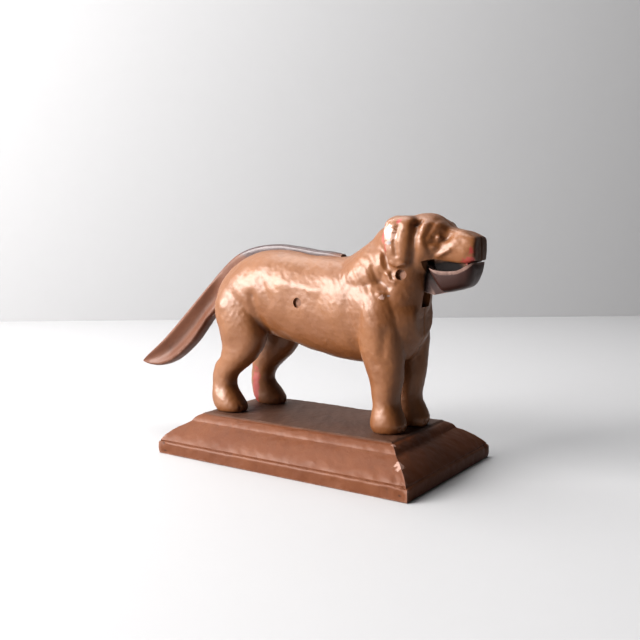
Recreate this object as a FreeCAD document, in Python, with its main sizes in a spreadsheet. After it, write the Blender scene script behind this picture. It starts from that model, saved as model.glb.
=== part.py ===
import FreeCAD, Part
import math
import os

# A dog-shaped nutcracker in cast iron: a stepped plinth, two half bodies pinned side by side,
# and one lever between them that is the tail at one end and the lower jaw at the other.
# Millimetres, +Z up, +X the way the dog faces. The origin is under the middle of the overall length.

os.makedirs("parts", exist_ok=True)
Vector = FreeCAD.Vector
doc = FreeCAD.newDocument("DogNutcracker")

# ---- Driving dimensions ------------------------------------------------------------------

DIMENSIONS = [
    ("overall_length", 250.5, "tail tip to nose, tail down"),
    ("dog_height", 119.0, "top of the head above the deck of the plinth"),
    ("body_breadth", 44.0, "across both half bodies at the ribs"),
    ("plinth_height", 23.6, "underside of the plinth to its deck"),
    ("fascia_height", 6.2, "upright band at the foot of the plinth"),
    ("moulding_run", 20.5, "edge of the plinth to the edge of its deck"),
    ("toe_margin", 1.0, "hind paws to the end of the deck"),
    ("side_margin", 5.0, "hind paws to the side of the deck"),
    ("rim_width", 6.0, "wall of the plinth at its foot"),
    ("deck_thickness", 5.0, "iron under the paws"),
    ("body_wall", 4.5, "wall of a half body round its hollow"),
    ("lever_thickness", 6.0, "lever between the half bodies"),
    ("lever_clearance", 0.5, "each side of the lever in its slot"),
    ("stop_gap", 0.3, "under the resting lever, at the tie pin and the slot floor"),
    ("hub_thickness", 7.6, "lever at the jaw pin"),
    ("hub_clearance", 0.4, "each side of the hub in the throat slot"),
    ("hub_radius", 8.0, "round the jaw pin"),
    ("throat_radius", 18.0, "throat slot, about the jaw pin"),
    ("blade_thickness", 10.0, "tail blade over its rims"),
    ("blade_rim", 2.4, "rim round the hollow sides of the tail"),
    ("flute_depth", 2.0, "hollow in each side of the tail"),
    ("jaw_width", 19.0, "lower jaw across its rim"),
    ("jaw_wall", 2.6, "rim of the lower jaw"),
    ("anvil_width", 12.0, "block under the palate, across both half bodies"),
    ("pin_diameter", 4.2, "jaw pin and tie pin"),
    ("pin_running_fit", 0.05, "round the jaw pin in the lever, on the radius"),
    ("pin_recess", 1.6, "pin ends below the skin"),
    ("pin_mouth_diameter", 5.6, "sunk mouth of each pin hole"),
    ("boss_radius", 7.0, "boss round the tie pin inside the hollow"),
    ("screw_diameter", 5.0, "foot screws, tapped into the legs"),
    ("screw_head_diameter", 9.0, "countersunk heads under the deck"),
    ("screw_depth", 14.0, "screw above the deck, inside the leg"),
    ("screw_slot", 1.2, "slot in a screw head"),
]

sheet = doc.addObject("Spreadsheet::Sheet", "Dims")
for row, (alias, value, note) in enumerate(DIMENSIONS, start=1):
    sheet.set(f"A{row}", note)
    sheet.set(f"B{row}", str(value))
    sheet.setAlias(f"B{row}", alias)
doc.recompute()


def size(alias):
    return float(sheet.get(alias))


# The sculpted outlines below are drawn for a dog of these sizes, in millimetres, with x from the
# middle of the plinth and z above its deck; the sheet's sizes stretch them.
DRAWN_LENGTH = 250.5
DRAWN_HEIGHT = 119.0
DRAWN_BREADTH = 44.0
DRAWN_TAIL_REACH = 148.5
HIND_PAW_REACH = 64.5
HIND_PAW_OUTER = 24.5

STRETCH_X = size("overall_length") / DRAWN_LENGTH
STRETCH_Y = size("body_breadth") / DRAWN_BREADTH
STRETCH_Z = size("dog_height") / DRAWN_HEIGHT
DECK = size("plinth_height")
PLINTH_CENTRE_X = (DRAWN_TAIL_REACH - DRAWN_LENGTH / 2) * STRETCH_X
DECK_HALF_LENGTH = HIND_PAW_REACH * STRETCH_X + size("toe_margin")
DECK_HALF_WIDTH = HIND_PAW_OUTER * STRETCH_Y + size("side_margin")
PLINTH_LENGTH = 2 * (DECK_HALF_LENGTH + size("moulding_run"))
PLINTH_WIDTH = 2 * (DECK_HALF_WIDTH + size("moulding_run"))

RIGHT = -1
LEFT = 1


def drawn(x, z, y=0.0):
    """A point of the drawing, in the part's own frame."""
    return Vector(PLINTH_CENTRE_X + x * STRETCH_X, y * STRETCH_Y, DECK + z * STRETCH_Z)


TIE_PIN_HEIGHT = 69.5
JAW_PIN = drawn(63.2, 86.6)
TIE_PIN = drawn(-0.8, TIE_PIN_HEIGHT)


# ---- Helpers -----------------------------------------------------------------------------

def feature(name, shape):
    """A document object that holds a shape made with Part's own functions."""
    obj = doc.addObject("Part::Feature", name)
    obj.Shape = shape
    return obj


def boolean(kind, name, *pieces):
    """A boolean of two or more objects, with its result made one clean shape."""
    obj = doc.addObject(kind, name)
    if kind == "Part::Cut":
        obj.Base, obj.Tool = pieces
    else:
        obj.Shapes = list(pieces)
    obj.Refine = False
    doc.recompute()
    return obj


def fuse(name, *pieces):
    return boolean("Part::MultiFuse", name, *pieces)


def common(name, *pieces):
    return boolean("Part::MultiCommon", name, *pieces)


def cut(name, base, tool):
    return boolean("Part::Cut", name, base, tool)


def bound(kind, name, place, turn=None, **sizes):
    """A Part primitive with sizes bound to the sheet and its own place."""
    obj = doc.addObject(kind, name)
    for prop, expression in sizes.items():
        obj.setExpression(prop, expression)
    obj.Placement = FreeCAD.Placement(place, turn or FreeCAD.Rotation())
    doc.recompute()
    return obj


ALONG_Y = FreeCAD.Rotation(Vector(1, 0, 0), -90)


def cylinder_along_y(name, centre, start, radius, length):
    """A cylinder about a line parallel to Y, from y = start."""
    place = Vector(centre.x, start, centre.z)
    return bound("Part::Cylinder", name, place, ALONG_Y, Radius=radius, Height=str(length))


def closed_curve(points):
    curve = Part.BSplineCurve()
    curve.interpolate(points, PeriodicFlag=True)
    return Part.Wire([curve.toShape()])


def ring(centre, across, along, power, count=16):
    """A closed section: a superellipse with the half-axis vectors across and along."""
    points = []
    for step in range(count):
        turn = 2 * math.pi * step / count
        c, s = math.cos(turn), math.sin(turn)
        u = math.copysign(abs(c) ** (2 / power), c)
        v = math.copysign(abs(s) ** (2 / power), s)
        points.append(centre + across * u + along * v)
    return closed_curve(points)


def upright_rings(stations, power):
    """Sections square to X, from (x, bottom, top, half breadth)."""
    rings = []
    for x, bottom, top, half in stations:
        centre = drawn(x, (bottom + top) / 2)
        across = Vector(0, half * STRETCH_Y, 0)
        along = Vector(0, 0, (top - bottom) / 2 * STRETCH_Z)
        rings.append(ring(centre, across, along, power))
    return rings


def leg_rings(stations, side, step, power=2.3):
    """Sections square to Z, from (z, back, front, inner, outer), on one side, moved forward."""
    rings = []
    for z, back, front, inner, outer in stations:
        centre = drawn((back + front) / 2 + step, z, side * (inner + outer) / 2)
        across = Vector((front - back) / 2 * STRETCH_X, 0, 0)
        along = Vector(0, (outer - inner) / 2 * STRETCH_Y, 0)
        rings.append(ring(centre, across, along, power))
    return rings


def loft(name, rings):
    return feature(name, Part.makeLoft(rings, True))


def outline(points):
    """A closed wire of straight lines through points of the X-Z drawing."""
    corners = [drawn(x, z) for x, z in points]
    return Part.makePolygon(corners + corners[:1])


def smooth_edge(points):
    curve = Part.BSplineCurve()
    curve.interpolate([drawn(x, z) for x, z in points])
    return curve.toShape()


def slab(name, wire, thickness, start=None):
    """A plate of an X-Z outline from y = start, or half each side of the middle plane."""
    face = Part.Face(wire)
    face.translate(Vector(0, -thickness / 2 if start is None else start, 0))
    return feature(name, face.extrude(Vector(0, thickness, 0)))


# ---- Plinth ------------------------------------------------------------------------------

# The moulding from the foot upwards: (inset from the edge, height) as shares of the run and of
# the rise above the fascia. Each row ends one stretch, through a middle point where it is round.
MOULDING = [
    ((0.0, 0.0), None),
    ((0.055, 0.075), (0.02, 0.055)),
    ((0.055, 0.12), None),
    ((0.645, 0.685), (0.30, 0.43)),
    ((0.70, 0.725), None),
    ((0.935, 0.955), (0.80, 0.875)),
    ((1.0, 1.0), None),
]


def moulding_half(half_span):
    """Edges up one side of the moulding, as (across, height) pairs with a middle point or None."""
    rise = DECK - size("fascia_height")
    run = size("moulding_run")

    def place(pair):
        return (half_span - pair[0] * run, size("fascia_height") + pair[1] * rise)

    return [(place(end), place(middle) if middle else None) for end, middle in MOULDING]


def moulding_face(half_span, to_vector):
    """The whole cross-section of the plinth, across x or across y."""
    side = moulding_half(half_span)
    edges = [Part.makeLine(to_vector(-half_span, 0), to_vector(half_span, 0))]
    for mirror in (1, -1):
        start = to_vector(mirror * half_span, 0)
        for (across, height), middle in side:
            end = to_vector(mirror * across, height)
            if middle:
                edges.append(Part.Arc(start, to_vector(mirror * middle[0], middle[1]), end).toShape())
            else:
                edges.append(Part.makeLine(start, end))
            start = end
    deck_edge = half_span - size("moulding_run")
    edges.append(Part.makeLine(to_vector(-deck_edge, DECK), to_vector(deck_edge, DECK)))
    return Part.Face(Part.Wire(Part.__sortEdges__(edges)))


def plinth_blank():
    """Two long mouldings at right angles, mitred by taking what they share."""

    def across_x(a, z):
        return Vector(PLINTH_CENTRE_X + a, -PLINTH_WIDTH, z)

    def across_y(a, z):
        return Vector(PLINTH_CENTRE_X - PLINTH_LENGTH, a, z)

    long_run = moulding_face(PLINTH_LENGTH / 2, across_x).extrude(Vector(0, 2 * PLINTH_WIDTH, 0))
    wide_run = moulding_face(PLINTH_WIDTH / 2, across_y).extrude(Vector(2 * PLINTH_LENGTH, 0, 0))
    return common("plinth_blank", feature("moulding_across", long_run), feature("moulding_along", wide_run))


def hollow_box(name, inset, height):
    place = Vector(PLINTH_CENTRE_X - PLINTH_LENGTH / 2 + inset, -PLINTH_WIDTH / 2 + inset, 0)
    return bound("Part::Box", name, place,
                 Length=str(PLINTH_LENGTH - 2 * inset),
                 Width=str(PLINTH_WIDTH - 2 * inset),
                 Height=height)


# ---- Half bodies -------------------------------------------------------------------------

# Trunk, from rump to breast: (x, bottom, top, half breadth).
TRUNK = [
    (-69.5, 60.0, 77.5, 12.5),
    (-63.0, 51.0, 86.0, 18.5),
    (-51.0, 47.5, 94.8, 21.5),
    (-36.0, 47.0, 98.9, 22.0),
    (-20.0, 44.5, 99.3, 21.6),
    (0.0, 40.8, 96.4, 21.0),
    (18.0, 38.4, 95.7, 21.4),
    (36.0, 36.8, 96.5, 22.0),
    (52.0, 39.0, 92.0, 20.5),
    (63.0, 44.0, 84.0, 16.5),
    (69.0, 52.0, 76.0, 11.0),
]

# Head and muzzle, from the nape to the nose.
HEAD = [
    (37.0, 95.0, 104.6, 6.0),
    (44.0, 90.0, 111.0, 12.4),
    (52.0, 85.0, 114.6, 15.4),
    (62.0, 82.6, 117.6, 16.8),
    (72.0, 86.0, 119.0, 16.0),
    (79.0, 90.5, 117.2, 14.0),
    (84.5, 92.0, 112.8, 11.6),
    (89.0, 91.5, 110.6, 10.0),
    (95.0, 91.5, 109.2, 9.0),
    (100.0, 93.0, 107.2, 8.2),
    (102.0, 95.0, 105.0, 6.6),
]

# Neck: (x and z of the centre, half length square to its axis, half breadth).
NECK = [(27.0, 73.5, 20.0, 20.0), (41.0, 84.5, 19.0, 19.5), (52.0, 93.5, 17.6, 16.5), (61.0, 100.5, 12.0, 11.0)]
NECK_LEAN = math.radians(40)

# Throat and breast, upwards: (z, back, front, half breadth).
THROAT = [
    (39.0, 40.0, 60.0, 11.0),
    (46.0, 35.0, 64.8, 15.5),
    (56.0, 33.0, 67.2, 18.5),
    (67.5, 33.0, 69.6, 18.6),
    (78.5, 37.0, 71.0, 17.5),
    (88.5, 43.0, 70.8, 16.5),
    (94.4, 47.0, 70.5, 15.0),
]

# Hind leg, upwards from the paw: (z, back, front, inner, outer).
HIND_LEG = [
    (0.0, -64.5, -46.0, 8.0, 23.5),
    (4.0, -68.0, -45.5, 7.5, 24.5),
    (9.0, -69.5, -49.0, 8.0, 23.8),
    (15.5, -69.6, -53.6, 8.5, 22.0),
    (22.0, -69.2, -51.8, 8.5, 21.8),
    (28.5, -67.5, -45.5, 8.0, 22.2),
    (34.0, -63.5, -41.5, 7.5, 22.8),
    (41.0, -61.8, -38.6, 6.5, 23.2),
    (49.0, -63.6, -37.6, 5.5, 23.6),
    (58.0, -66.6, -37.0, 4.0, 23.8),
    (68.0, -66.8, -38.0, 3.0, 22.8),
    (78.0, -62.0, -42.0, 3.0, 19.6),
]

# Front leg, upwards from the paw.
FRONT_LEG = [
    (0.0, 44.5, 61.5, 3.2, 19.0),
    (4.0, 43.0, 63.5, 2.5, 20.2),
    (9.0, 43.6, 61.8, 2.8, 19.6),
    (15.5, 44.4, 59.4, 3.2, 18.2),
    (22.0, 43.8, 59.8, 3.2, 18.4),
    (29.5, 42.0, 61.6, 3.0, 19.0),
    (36.5, 39.5, 62.2, 3.0, 20.0),
    (44.5, 37.0, 62.6, 2.6, 21.4),
    (54.5, 35.5, 62.6, 2.0, 22.4),
    (66.5, 36.0, 61.6, 2.0, 22.4),
    (77.0, 39.0, 58.0, 2.0, 20.0),
]

# The left legs stand a little further forward than the right.
LEFT_HIND_STEP = 6.0
LEFT_FRONT_STEP = 2.5

EAR_CENTRE = (58.6, 99.8, 15.6)
EAR_RADII = (12.4, 7.8, 3.8)
EAR_LEAN = 8.0

# The mouth is open below this line of the upper lip, and the throat is open in front of its edge.
MOUTH = [
    (73.5, 93.6), (80.0, 94.9), (88.0, 93.0), (95.0, 92.8), (96.0, 93.8),
    (112.0, 93.8), (112.0, 30.0), (73.5, 30.0),
]


# The upper jaw's anvil: a block under the palate that the lower jaw presses a nut against.
ANVIL = [(77.5, 97.0), (78.6, 91.2), (80.0, 90.4), (93.5, 90.4), (97.5, 93.4), (97.5, 97.0)]


def neck_rings():
    rings = []
    for x, z, half_length, half in NECK:
        along = Vector(-math.sin(NECK_LEAN) * STRETCH_X, 0, math.cos(NECK_LEAN) * STRETCH_Z)
        rings.append(ring(drawn(x, z), Vector(0, half * STRETCH_Y, 0), along * half_length, 2.0))
    return rings


def throat_rings():
    rings = []
    for z, back, front, half in THROAT:
        across = Vector((front - back) / 2 * STRETCH_X, 0, 0)
        rings.append(ring(drawn((back + front) / 2, z), across, Vector(0, half * STRETCH_Y, 0), 2.2))
    return rings


def trunk_hollow(name):
    """The inside of the trunk, one wall thickness in from its skin."""
    wall = size("body_wall")
    inner = []
    for x, bottom, top, half in TRUNK[1:-2]:
        across = Vector(0, half * STRETCH_Y - wall, 0)
        along = Vector(0, 0, (top - bottom) / 2 * STRETCH_Z - wall)
        inner.append(ring(drawn(x, (bottom + top) / 2), across, along, 2.0))
    return loft("trunk_hollow_" + name, inner)


def dog_skin(side, hind_step, front_step):
    """One side's legs and ear with both sides of the trunk, neck and head, as one solid."""
    name = "right" if side == RIGHT else "left"
    ear_x, ear_z, ear_y = EAR_CENTRE
    ear_turn = FreeCAD.Rotation(Vector(0, 1, 0), EAR_LEAN)
    ear = bound("Part::Ellipsoid", "ear_" + name, drawn(ear_x, ear_z, side * ear_y), ear_turn,
                Radius1=str(EAR_RADII[0] * STRETCH_Z),
                Radius2=str(EAR_RADII[1] * STRETCH_X),
                Radius3=str(EAR_RADII[2] * STRETCH_Y))
    masses = fuse("dog_masses_" + name,
                  loft("trunk_" + name, upright_rings(TRUNK, 2.0)),
                  loft("neck_" + name, neck_rings()),
                  loft("throat_" + name, throat_rings()),
                  loft("head_" + name, upright_rings(HEAD, 2.4)),
                  ear,
                  loft("hind_leg_" + name, leg_rings(HIND_LEG, side, hind_step)),
                  loft("front_leg_" + name, leg_rings(FRONT_LEG, side, front_step)))
    open_mouth = cut("open_mouth_" + name, masses,
                     slab("mouth_" + name, outline(MOUTH), 3 * size("body_breadth")))
    return fuse("dog_skin_" + name, open_mouth,
                slab("anvil_" + name, outline(ANVIL), size("anvil_width")))


def skin_y(skin, at):
    """How far out the skin is on the line parallel to Y through a point."""
    reach = size("body_breadth")
    line = Part.makeLine(Vector(at.x, -reach, at.z), Vector(at.x, 0, at.z))
    inside = skin.Shape.common(line)
    return -inside.BoundBox.YMin


# ---- Lever: tail, bar and lower jaw ------------------------------------------------------

# Upper edge from the front of the spine to the tip of the tail, then the lower edge back.
SPINE_EDGE = [
    (17.6, 96.6), (9.0, 98.2), (0.9, 98.9), (-13.6, 101.0), (-28.5, 102.4), (-45.7, 100.9),
    (-60.3, 96.2), (-73.1, 87.2), (-84.6, 76.0),
]
TAIL_UPPER_EDGE = [(-84.6, 76.0), (-99.0, 63.0), (-114.0, 49.4), (-127.0, 38.2), (-139.5, 28.6), (-148.5, 21.6)]
TAIL_LOWER_EDGE = [(-148.5, 21.6), (-141.5, 20.0), (-130.5, 19.8), (-119.8, 23.2), (-109.8, 29.2),
                   (-98.8, 38.2), (-90.0, 48.0), (-82.4, 56.0)]
TAIL_ROOT_LOWER = (-74.5, 62.0)
BAR_UNDERSIDE = [(-58.0, 69.5), (-40.0, 72.4), (-20.0, 72.9)]
BAR_FRONT_LOWER = [(9.5, 65.0), (18.0, 62.6), (28.0, 63.4), (40.0, 69.2), (52.0, 76.0), (59.2, 79.8)]
BAR_FRONT_UPPER = [(61.2, 94.0), (52.0, 92.2), (42.0, 87.8), (32.0, 81.6), (24.0, 76.2), (17.6, 74.6)]
BAR_REST = (-6.0, 4.5)


def rest_point(x):
    """The underside of the bar over the tie pin, just clear of it."""
    lift = size("pin_diameter") / 2 + size("stop_gap")
    return (x, TIE_PIN_HEIGHT + lift / STRETCH_Z)


def bar_wire():
    """The whole lever in side view, without the jaw's cup."""
    lower = [drawn(*TAIL_LOWER_EDGE[-1]), drawn(*TAIL_ROOT_LOWER)]
    lower += [drawn(x, z) for x, z in BAR_UNDERSIDE]
    lower += [drawn(*rest_point(x)) for x in BAR_REST]
    lower += [drawn(x, z) for x, z in BAR_FRONT_LOWER + BAR_FRONT_UPPER]
    lower.append(drawn(*SPINE_EDGE[0]))
    edges = [smooth_edge(SPINE_EDGE), smooth_edge(TAIL_UPPER_EDGE), smooth_edge(TAIL_LOWER_EDGE)]
    edges += [Part.makeLine(a, b) for a, b in zip(lower, lower[1:])]
    return Part.Wire(Part.__sortEdges__(edges))


def blade_wire():
    """The tail outside the body in side view."""
    root = Part.makeLine(drawn(*TAIL_LOWER_EDGE[-1]), drawn(*TAIL_UPPER_EDGE[0]))
    edges = [smooth_edge(TAIL_UPPER_EDGE), smooth_edge(TAIL_LOWER_EDGE), root]
    return Part.Wire(Part.__sortEdges__(edges))


def inset(points, distance):
    """The inner points of a row, moved square to their neighbours' chord, to the right of the way."""
    places = [drawn(x, z) for x, z in points]
    moved = []
    for before, here, after in zip(places, places[1:], places[2:]):
        chord = after - before
        moved.append(here + Vector(chord.z, 0, -chord.x).normalize() * distance)
    return moved


def flute_wire():
    """The hollow in the side of the tail: both edges of the blade moved in by the rim."""
    rim = -size("blade_rim")
    upper = inset(TAIL_UPPER_EDGE, rim)
    lower = inset(TAIL_LOWER_EDGE, rim)
    upper_curve = Part.BSplineCurve()
    upper_curve.interpolate(upper)
    lower_curve = Part.BSplineCurve()
    lower_curve.interpolate(lower)
    edges = [upper_curve.toShape(), Part.makeLine(upper[-1], lower[0]),
             lower_curve.toShape(), Part.makeLine(lower[-1], upper[0])]
    return Part.Wire(Part.__sortEdges__(edges))


def tail_blade():
    """A thick blade, with a long hollow in each side inside a narrow rim."""
    thickness = size("blade_thickness")
    blade = slab("blade_blank", blade_wire(), thickness)
    floor = thickness / 2 - size("flute_depth")
    flutes = fuse("blade_flutes",
                  slab("flute_left", flute_wire(), thickness, floor),
                  slab("flute_right", flute_wire(), thickness, -floor - thickness))
    return cut("tail_blade", blade, flutes)


# Lower jaw in side view, clockwise from the back of its rim, and the near edge of its back.
JAW_RIM = [(76.4, 90.3), (81.0, 88.4), (88.0, 86.9), (93.0, 88.6), (97.0, 91.6), (100.2, 92.8)]
JAW_CHIN = [(100.2, 92.8), (99.9, 88.2), (97.8, 84.6), (93.2, 79.9), (85.0, 77.3)]
JAW_BACK = [(82.2, 76.7), (79.4, 81.6), (77.0, 87.0), (76.4, 90.3)]
JAW_NECK = [(63.0, 79.2), (77.0, 75.6), (85.0, 77.3), (83.0, 87.6), (76.4, 90.3), (64.0, 94.0)]

# Rounded bounds of the cup: (x, bottom, top, half breadth as a share of the jaw's half width).
JAW_BOUNDS = [
    (74.0, 74.0, 110.0, 1.0),
    (86.0, 76.4, 112.0, 1.0),
    (93.5, 79.2, 112.0, 0.94),
    (98.0, 83.5, 112.0, 0.84),
    (100.8, 86.5, 112.0, 0.70),
]
SCOOP_CENTRE = (88.0, 91.0)
SCOOP_LENGTH = 22.0
SCOOP_DEPTH = 10.5


def jaw_cup():
    """The cup of the jaw: what its side view and its rounded bounds share, scooped from above."""
    half_width = size("jaw_width") / 2
    corners = [drawn(x, z) for x, z in JAW_CHIN + JAW_BACK]
    edges = [smooth_edge(JAW_RIM)]
    edges += [Part.makeLine(a, b) for a, b in zip(corners, corners[1:])]
    side = slab("jaw_side", Part.Wire(Part.__sortEdges__(edges)), 2 * half_width)
    rings = []
    for x, bottom, top, share in JAW_BOUNDS:
        along = Vector(0, 0, (top - bottom) / 2 * STRETCH_Z)
        across = Vector(0, half_width * share, 0)
        rings.append(ring(drawn(x, (bottom + top) / 2), across, along, 2.8))
    rounded = common("jaw_rounded", side, loft("jaw_bounds", rings))
    scoop = bound("Part::Ellipsoid", "jaw_scoop", drawn(*SCOOP_CENTRE),
                  Radius1=str(SCOOP_DEPTH * STRETCH_Z),
                  Radius2=str(SCOOP_LENGTH / 2 * STRETCH_X),
                  Radius3="Dims.jaw_width / 2 - Dims.jaw_wall")
    return cut("jaw_cup", rounded, scoop)


def lever():
    """Tail, bar, hub and jaw in one casting, bored for the jaw pin."""
    hub_half = size("hub_thickness") / 2
    hub = cylinder_along_y("hub", JAW_PIN, -hub_half, "Dims.hub_radius", 2 * hub_half)
    neck = slab("jaw_neck", outline(JAW_NECK), size("hub_thickness"))
    bar = slab("bar", bar_wire(), size("lever_thickness"))
    whole = fuse("lever_blank", bar, tail_blade(), hub, neck, jaw_cup())
    bore = cylinder_along_y("lever_bore", JAW_PIN, -size("jaw_width"),
                            "Dims.pin_diameter / 2 + Dims.pin_running_fit", 2 * size("jaw_width"))
    return cut("nut_lever", whole, bore)


# The slot that the bar works in: floor just under the resting bar, open along the back, then a
# channel inside the neck whose roof clears the bar with the tail up.
SLOT_FRONT_X = 22.2
SLOT_FLOOR_DROP = 0.6
SLOT_FLOOR_AT_TIE = [(-6.0, 66.0), (4.5, 64.0)]
SLOT_BEHIND = (-100.0, 42.0)
SLOT_ABOVE = 130.0
CHANNEL_ROOF = [(SLOT_FRONT_X, 95.6), (32.0, 97.4), (44.0, 98.6), (58.0, 99.6), (66.0, 98.0), (66.0, 78.0)]


def slot_outline():
    """The slot's side view: dropped below the lever, and open above it behind the neck."""
    floor = [SLOT_BEHIND, TAIL_LOWER_EDGE[-1], TAIL_ROOT_LOWER]
    floor += BAR_UNDERSIDE + SLOT_FLOOR_AT_TIE + BAR_FRONT_LOWER
    dropped = [(x, z - SLOT_FLOOR_DROP) for x, z in floor]
    top = [(SLOT_FRONT_X, SLOT_ABOVE), (SLOT_BEHIND[0], SLOT_ABOVE)]
    return outline(dropped + CHANNEL_ROOF[::-1] + top)


# ---- Pins and screws ---------------------------------------------------------------------

def pin(name, at, half_length):
    return cylinder_along_y(name, at, -half_length, "Dims.pin_diameter / 2", 2 * half_length)


SCREW_PLACES = {
    "foot_screw_front_right": (52.0, RIGHT * 11.0),
    "foot_screw_front_left": (52.0 + LEFT_FRONT_STEP, LEFT * 11.0),
    "foot_screw_rear_right": (-58.0, RIGHT * 15.8),
    "foot_screw_rear_left": (-58.0 + LEFT_HIND_STEP, LEFT * 15.8),
}


def screw_solid(name, x, y):
    """A countersunk screw pointing up, its head flush with the underside of the deck."""
    underside = drawn(x, 0, y) - Vector(0, 0, size("deck_thickness"))
    shank = bound("Part::Cylinder", name + "_shank", underside,
                  Radius="Dims.screw_diameter / 2",
                  Height="Dims.deck_thickness + Dims.screw_depth")
    head = bound("Part::Cone", name + "_head", underside,
                 Radius1="Dims.screw_head_diameter / 2",
                 Radius2="Dims.screw_diameter / 2",
                 Height="(Dims.screw_head_diameter - Dims.screw_diameter) / 2")
    return fuse(name + "_blank", shank, head)


def foot_screw(name, x, y):
    blank = screw_solid(name, x, y)
    depth = size("screw_slot")
    corner = drawn(x, 0, y) - Vector(size("screw_head_diameter"), depth / 2, size("deck_thickness"))
    slot = bound("Part::Box", name + "_slot", corner,
                 Length="2 * Dims.screw_head_diameter",
                 Width="Dims.screw_slot",
                 Height="Dims.screw_slot")
    return cut(name, blank, slot)


# ---- Assembly ----------------------------------------------------------------------------

tool_screws = [screw_solid("hole_" + name, x, y) for name, (x, y) in SCREW_PLACES.items()]

plinth_hollow = fuse(
    "plinth_hollow",
    hollow_box("foot_hollow", size("rim_width"), "Dims.fascia_height"),
    hollow_box("deck_hollow", size("moulding_run") - size("deck_thickness") / 2,
               "Dims.plinth_height - Dims.deck_thickness"),
)
plinth = cut("plinth", cut("plinth_shell", plinth_blank(), plinth_hollow),
             fuse("plinth_holes", *tool_screws))

skin = dog_skin(RIGHT, 0.0, 0.0)
jaw_pin_half = skin_y(skin, JAW_PIN) - size("pin_recess")
tie_pin_half = skin_y(skin, TIE_PIN) - size("pin_recess")
slot_half = size("lever_thickness") / 2 + size("lever_clearance")
throat_half = size("hub_thickness") / 2 + size("hub_clearance")
far_out = 2 * size("body_breadth")

throat_slot = fuse(
    "throat_slot",
    cylinder_along_y("throat_round", JAW_PIN, -throat_half, "Dims.throat_radius", 2 * throat_half),
    bound("Part::Box", "throat_front",
          JAW_PIN + Vector(0, -throat_half, -size("throat_radius")),
          Length=str(far_out),
          Width=str(2 * throat_half),
          Height="Dims.throat_radius"),
)
openings = fuse(
    "openings",
    slab("lever_slot", slot_outline(), 2 * slot_half),
    throat_slot,
    pin("jaw_pin_hole", JAW_PIN, far_out),
    pin("tie_pin_hole", TIE_PIN, far_out),
    *[cylinder_along_y(f"{name}_mouth_{end}", at, start, "Dims.pin_mouth_diameter / 2", far_out - half)
      for name, at, half in (("jaw_pin", JAW_PIN, jaw_pin_half), ("tie_pin", TIE_PIN, tie_pin_half))
      for end, start in (("right", -far_out), ("left", half))],
    *[screw_solid("tap_" + name, x, y) for name, (x, y) in SCREW_PLACES.items()],
)


def half_body(side, whole):
    """One half body: its skin, hollowed, with a boss round the tie pin, on one side of the middle."""
    name = "right" if side == RIGHT else "left"
    start = -far_out if side == RIGHT else 0.0
    boss = common("tie_boss_" + name,
                  cylinder_along_y("tie_boss_round_" + name, TIE_PIN, start, "Dims.boss_radius", far_out),
                  whole)
    hollow = cut("hollow_skin_" + name, whole, trunk_hollow(name))
    shell = fuse("shell_with_boss_" + name, hollow, boss)
    own_side = bound("Part::Box", "own_side_" + name, Vector(-far_out * 3, start, 0),
                     Length=str(far_out * 6), Width=str(far_out), Height=str(far_out * 3))
    return common("body_half_" + name, cut("cut_shell_" + name, shell, openings), own_side)


right_half = half_body(RIGHT, skin)
left_half = half_body(LEFT, dog_skin(LEFT, LEFT_HIND_STEP, LEFT_FRONT_STEP))

parts = {
    "plinth": plinth,
    "body_half_right": right_half,
    "body_half_left": left_half,
    "nut_lever": lever(),
    "jaw_pin": pin("jaw_pin", JAW_PIN, jaw_pin_half),
    "tie_pin": pin("tie_pin", TIE_PIN, tie_pin_half),
}
for name, (x, y) in SCREW_PLACES.items():
    parts[name] = foot_screw(name, x, y)

# ---- Checks and files --------------------------------------------------------------------

doc.recompute()
for obj in doc.Objects:
    if "Invalid" in obj.State or "Error" in obj.State:
        raise RuntimeError(f"{obj.Name} did not build: {obj.State}")
for name, obj in parts.items():
    obj.Label = name
    shape = obj.Shape
    if shape.isNull() or not shape.isValid():
        raise RuntimeError(f"{name} has no valid shape")
    if len(shape.Solids) != 1:
        raise RuntimeError(f"{name} has {len(shape.Solids)} solids")
    shape.exportStep(f"parts/{name}.step")
    box = shape.BoundBox
    print(f"{name}: {shape.Volume / 1000:.1f} cm3, "
          f"x {box.XMin:.1f}..{box.XMax:.1f}, y {box.YMin:.1f}..{box.YMax:.1f}, "
          f"z {box.ZMin:.1f}..{box.ZMax:.1f}")
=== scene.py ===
import math

import bmesh
import bpy
import numpy as np
from mathutils import Matrix, Vector


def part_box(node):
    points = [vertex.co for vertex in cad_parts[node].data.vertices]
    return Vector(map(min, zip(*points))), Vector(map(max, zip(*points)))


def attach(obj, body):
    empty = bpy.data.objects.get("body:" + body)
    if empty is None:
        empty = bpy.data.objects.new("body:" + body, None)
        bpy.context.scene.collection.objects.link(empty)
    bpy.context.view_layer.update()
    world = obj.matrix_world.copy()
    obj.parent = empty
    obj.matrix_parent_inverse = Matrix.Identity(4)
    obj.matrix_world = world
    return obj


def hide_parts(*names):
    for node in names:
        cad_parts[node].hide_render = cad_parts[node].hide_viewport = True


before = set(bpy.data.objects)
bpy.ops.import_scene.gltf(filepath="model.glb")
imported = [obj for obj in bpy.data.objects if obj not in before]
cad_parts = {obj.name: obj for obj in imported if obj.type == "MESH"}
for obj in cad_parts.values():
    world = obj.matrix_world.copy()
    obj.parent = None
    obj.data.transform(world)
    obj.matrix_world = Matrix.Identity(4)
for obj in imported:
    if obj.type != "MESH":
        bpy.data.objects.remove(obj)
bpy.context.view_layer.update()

# A cast iron nutcracker in the shape of a standing dog. Tables are in millimetres: x from the
# middle of the plinth towards the nose, y to the dog's left, z above the deck of the plinth.

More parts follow.
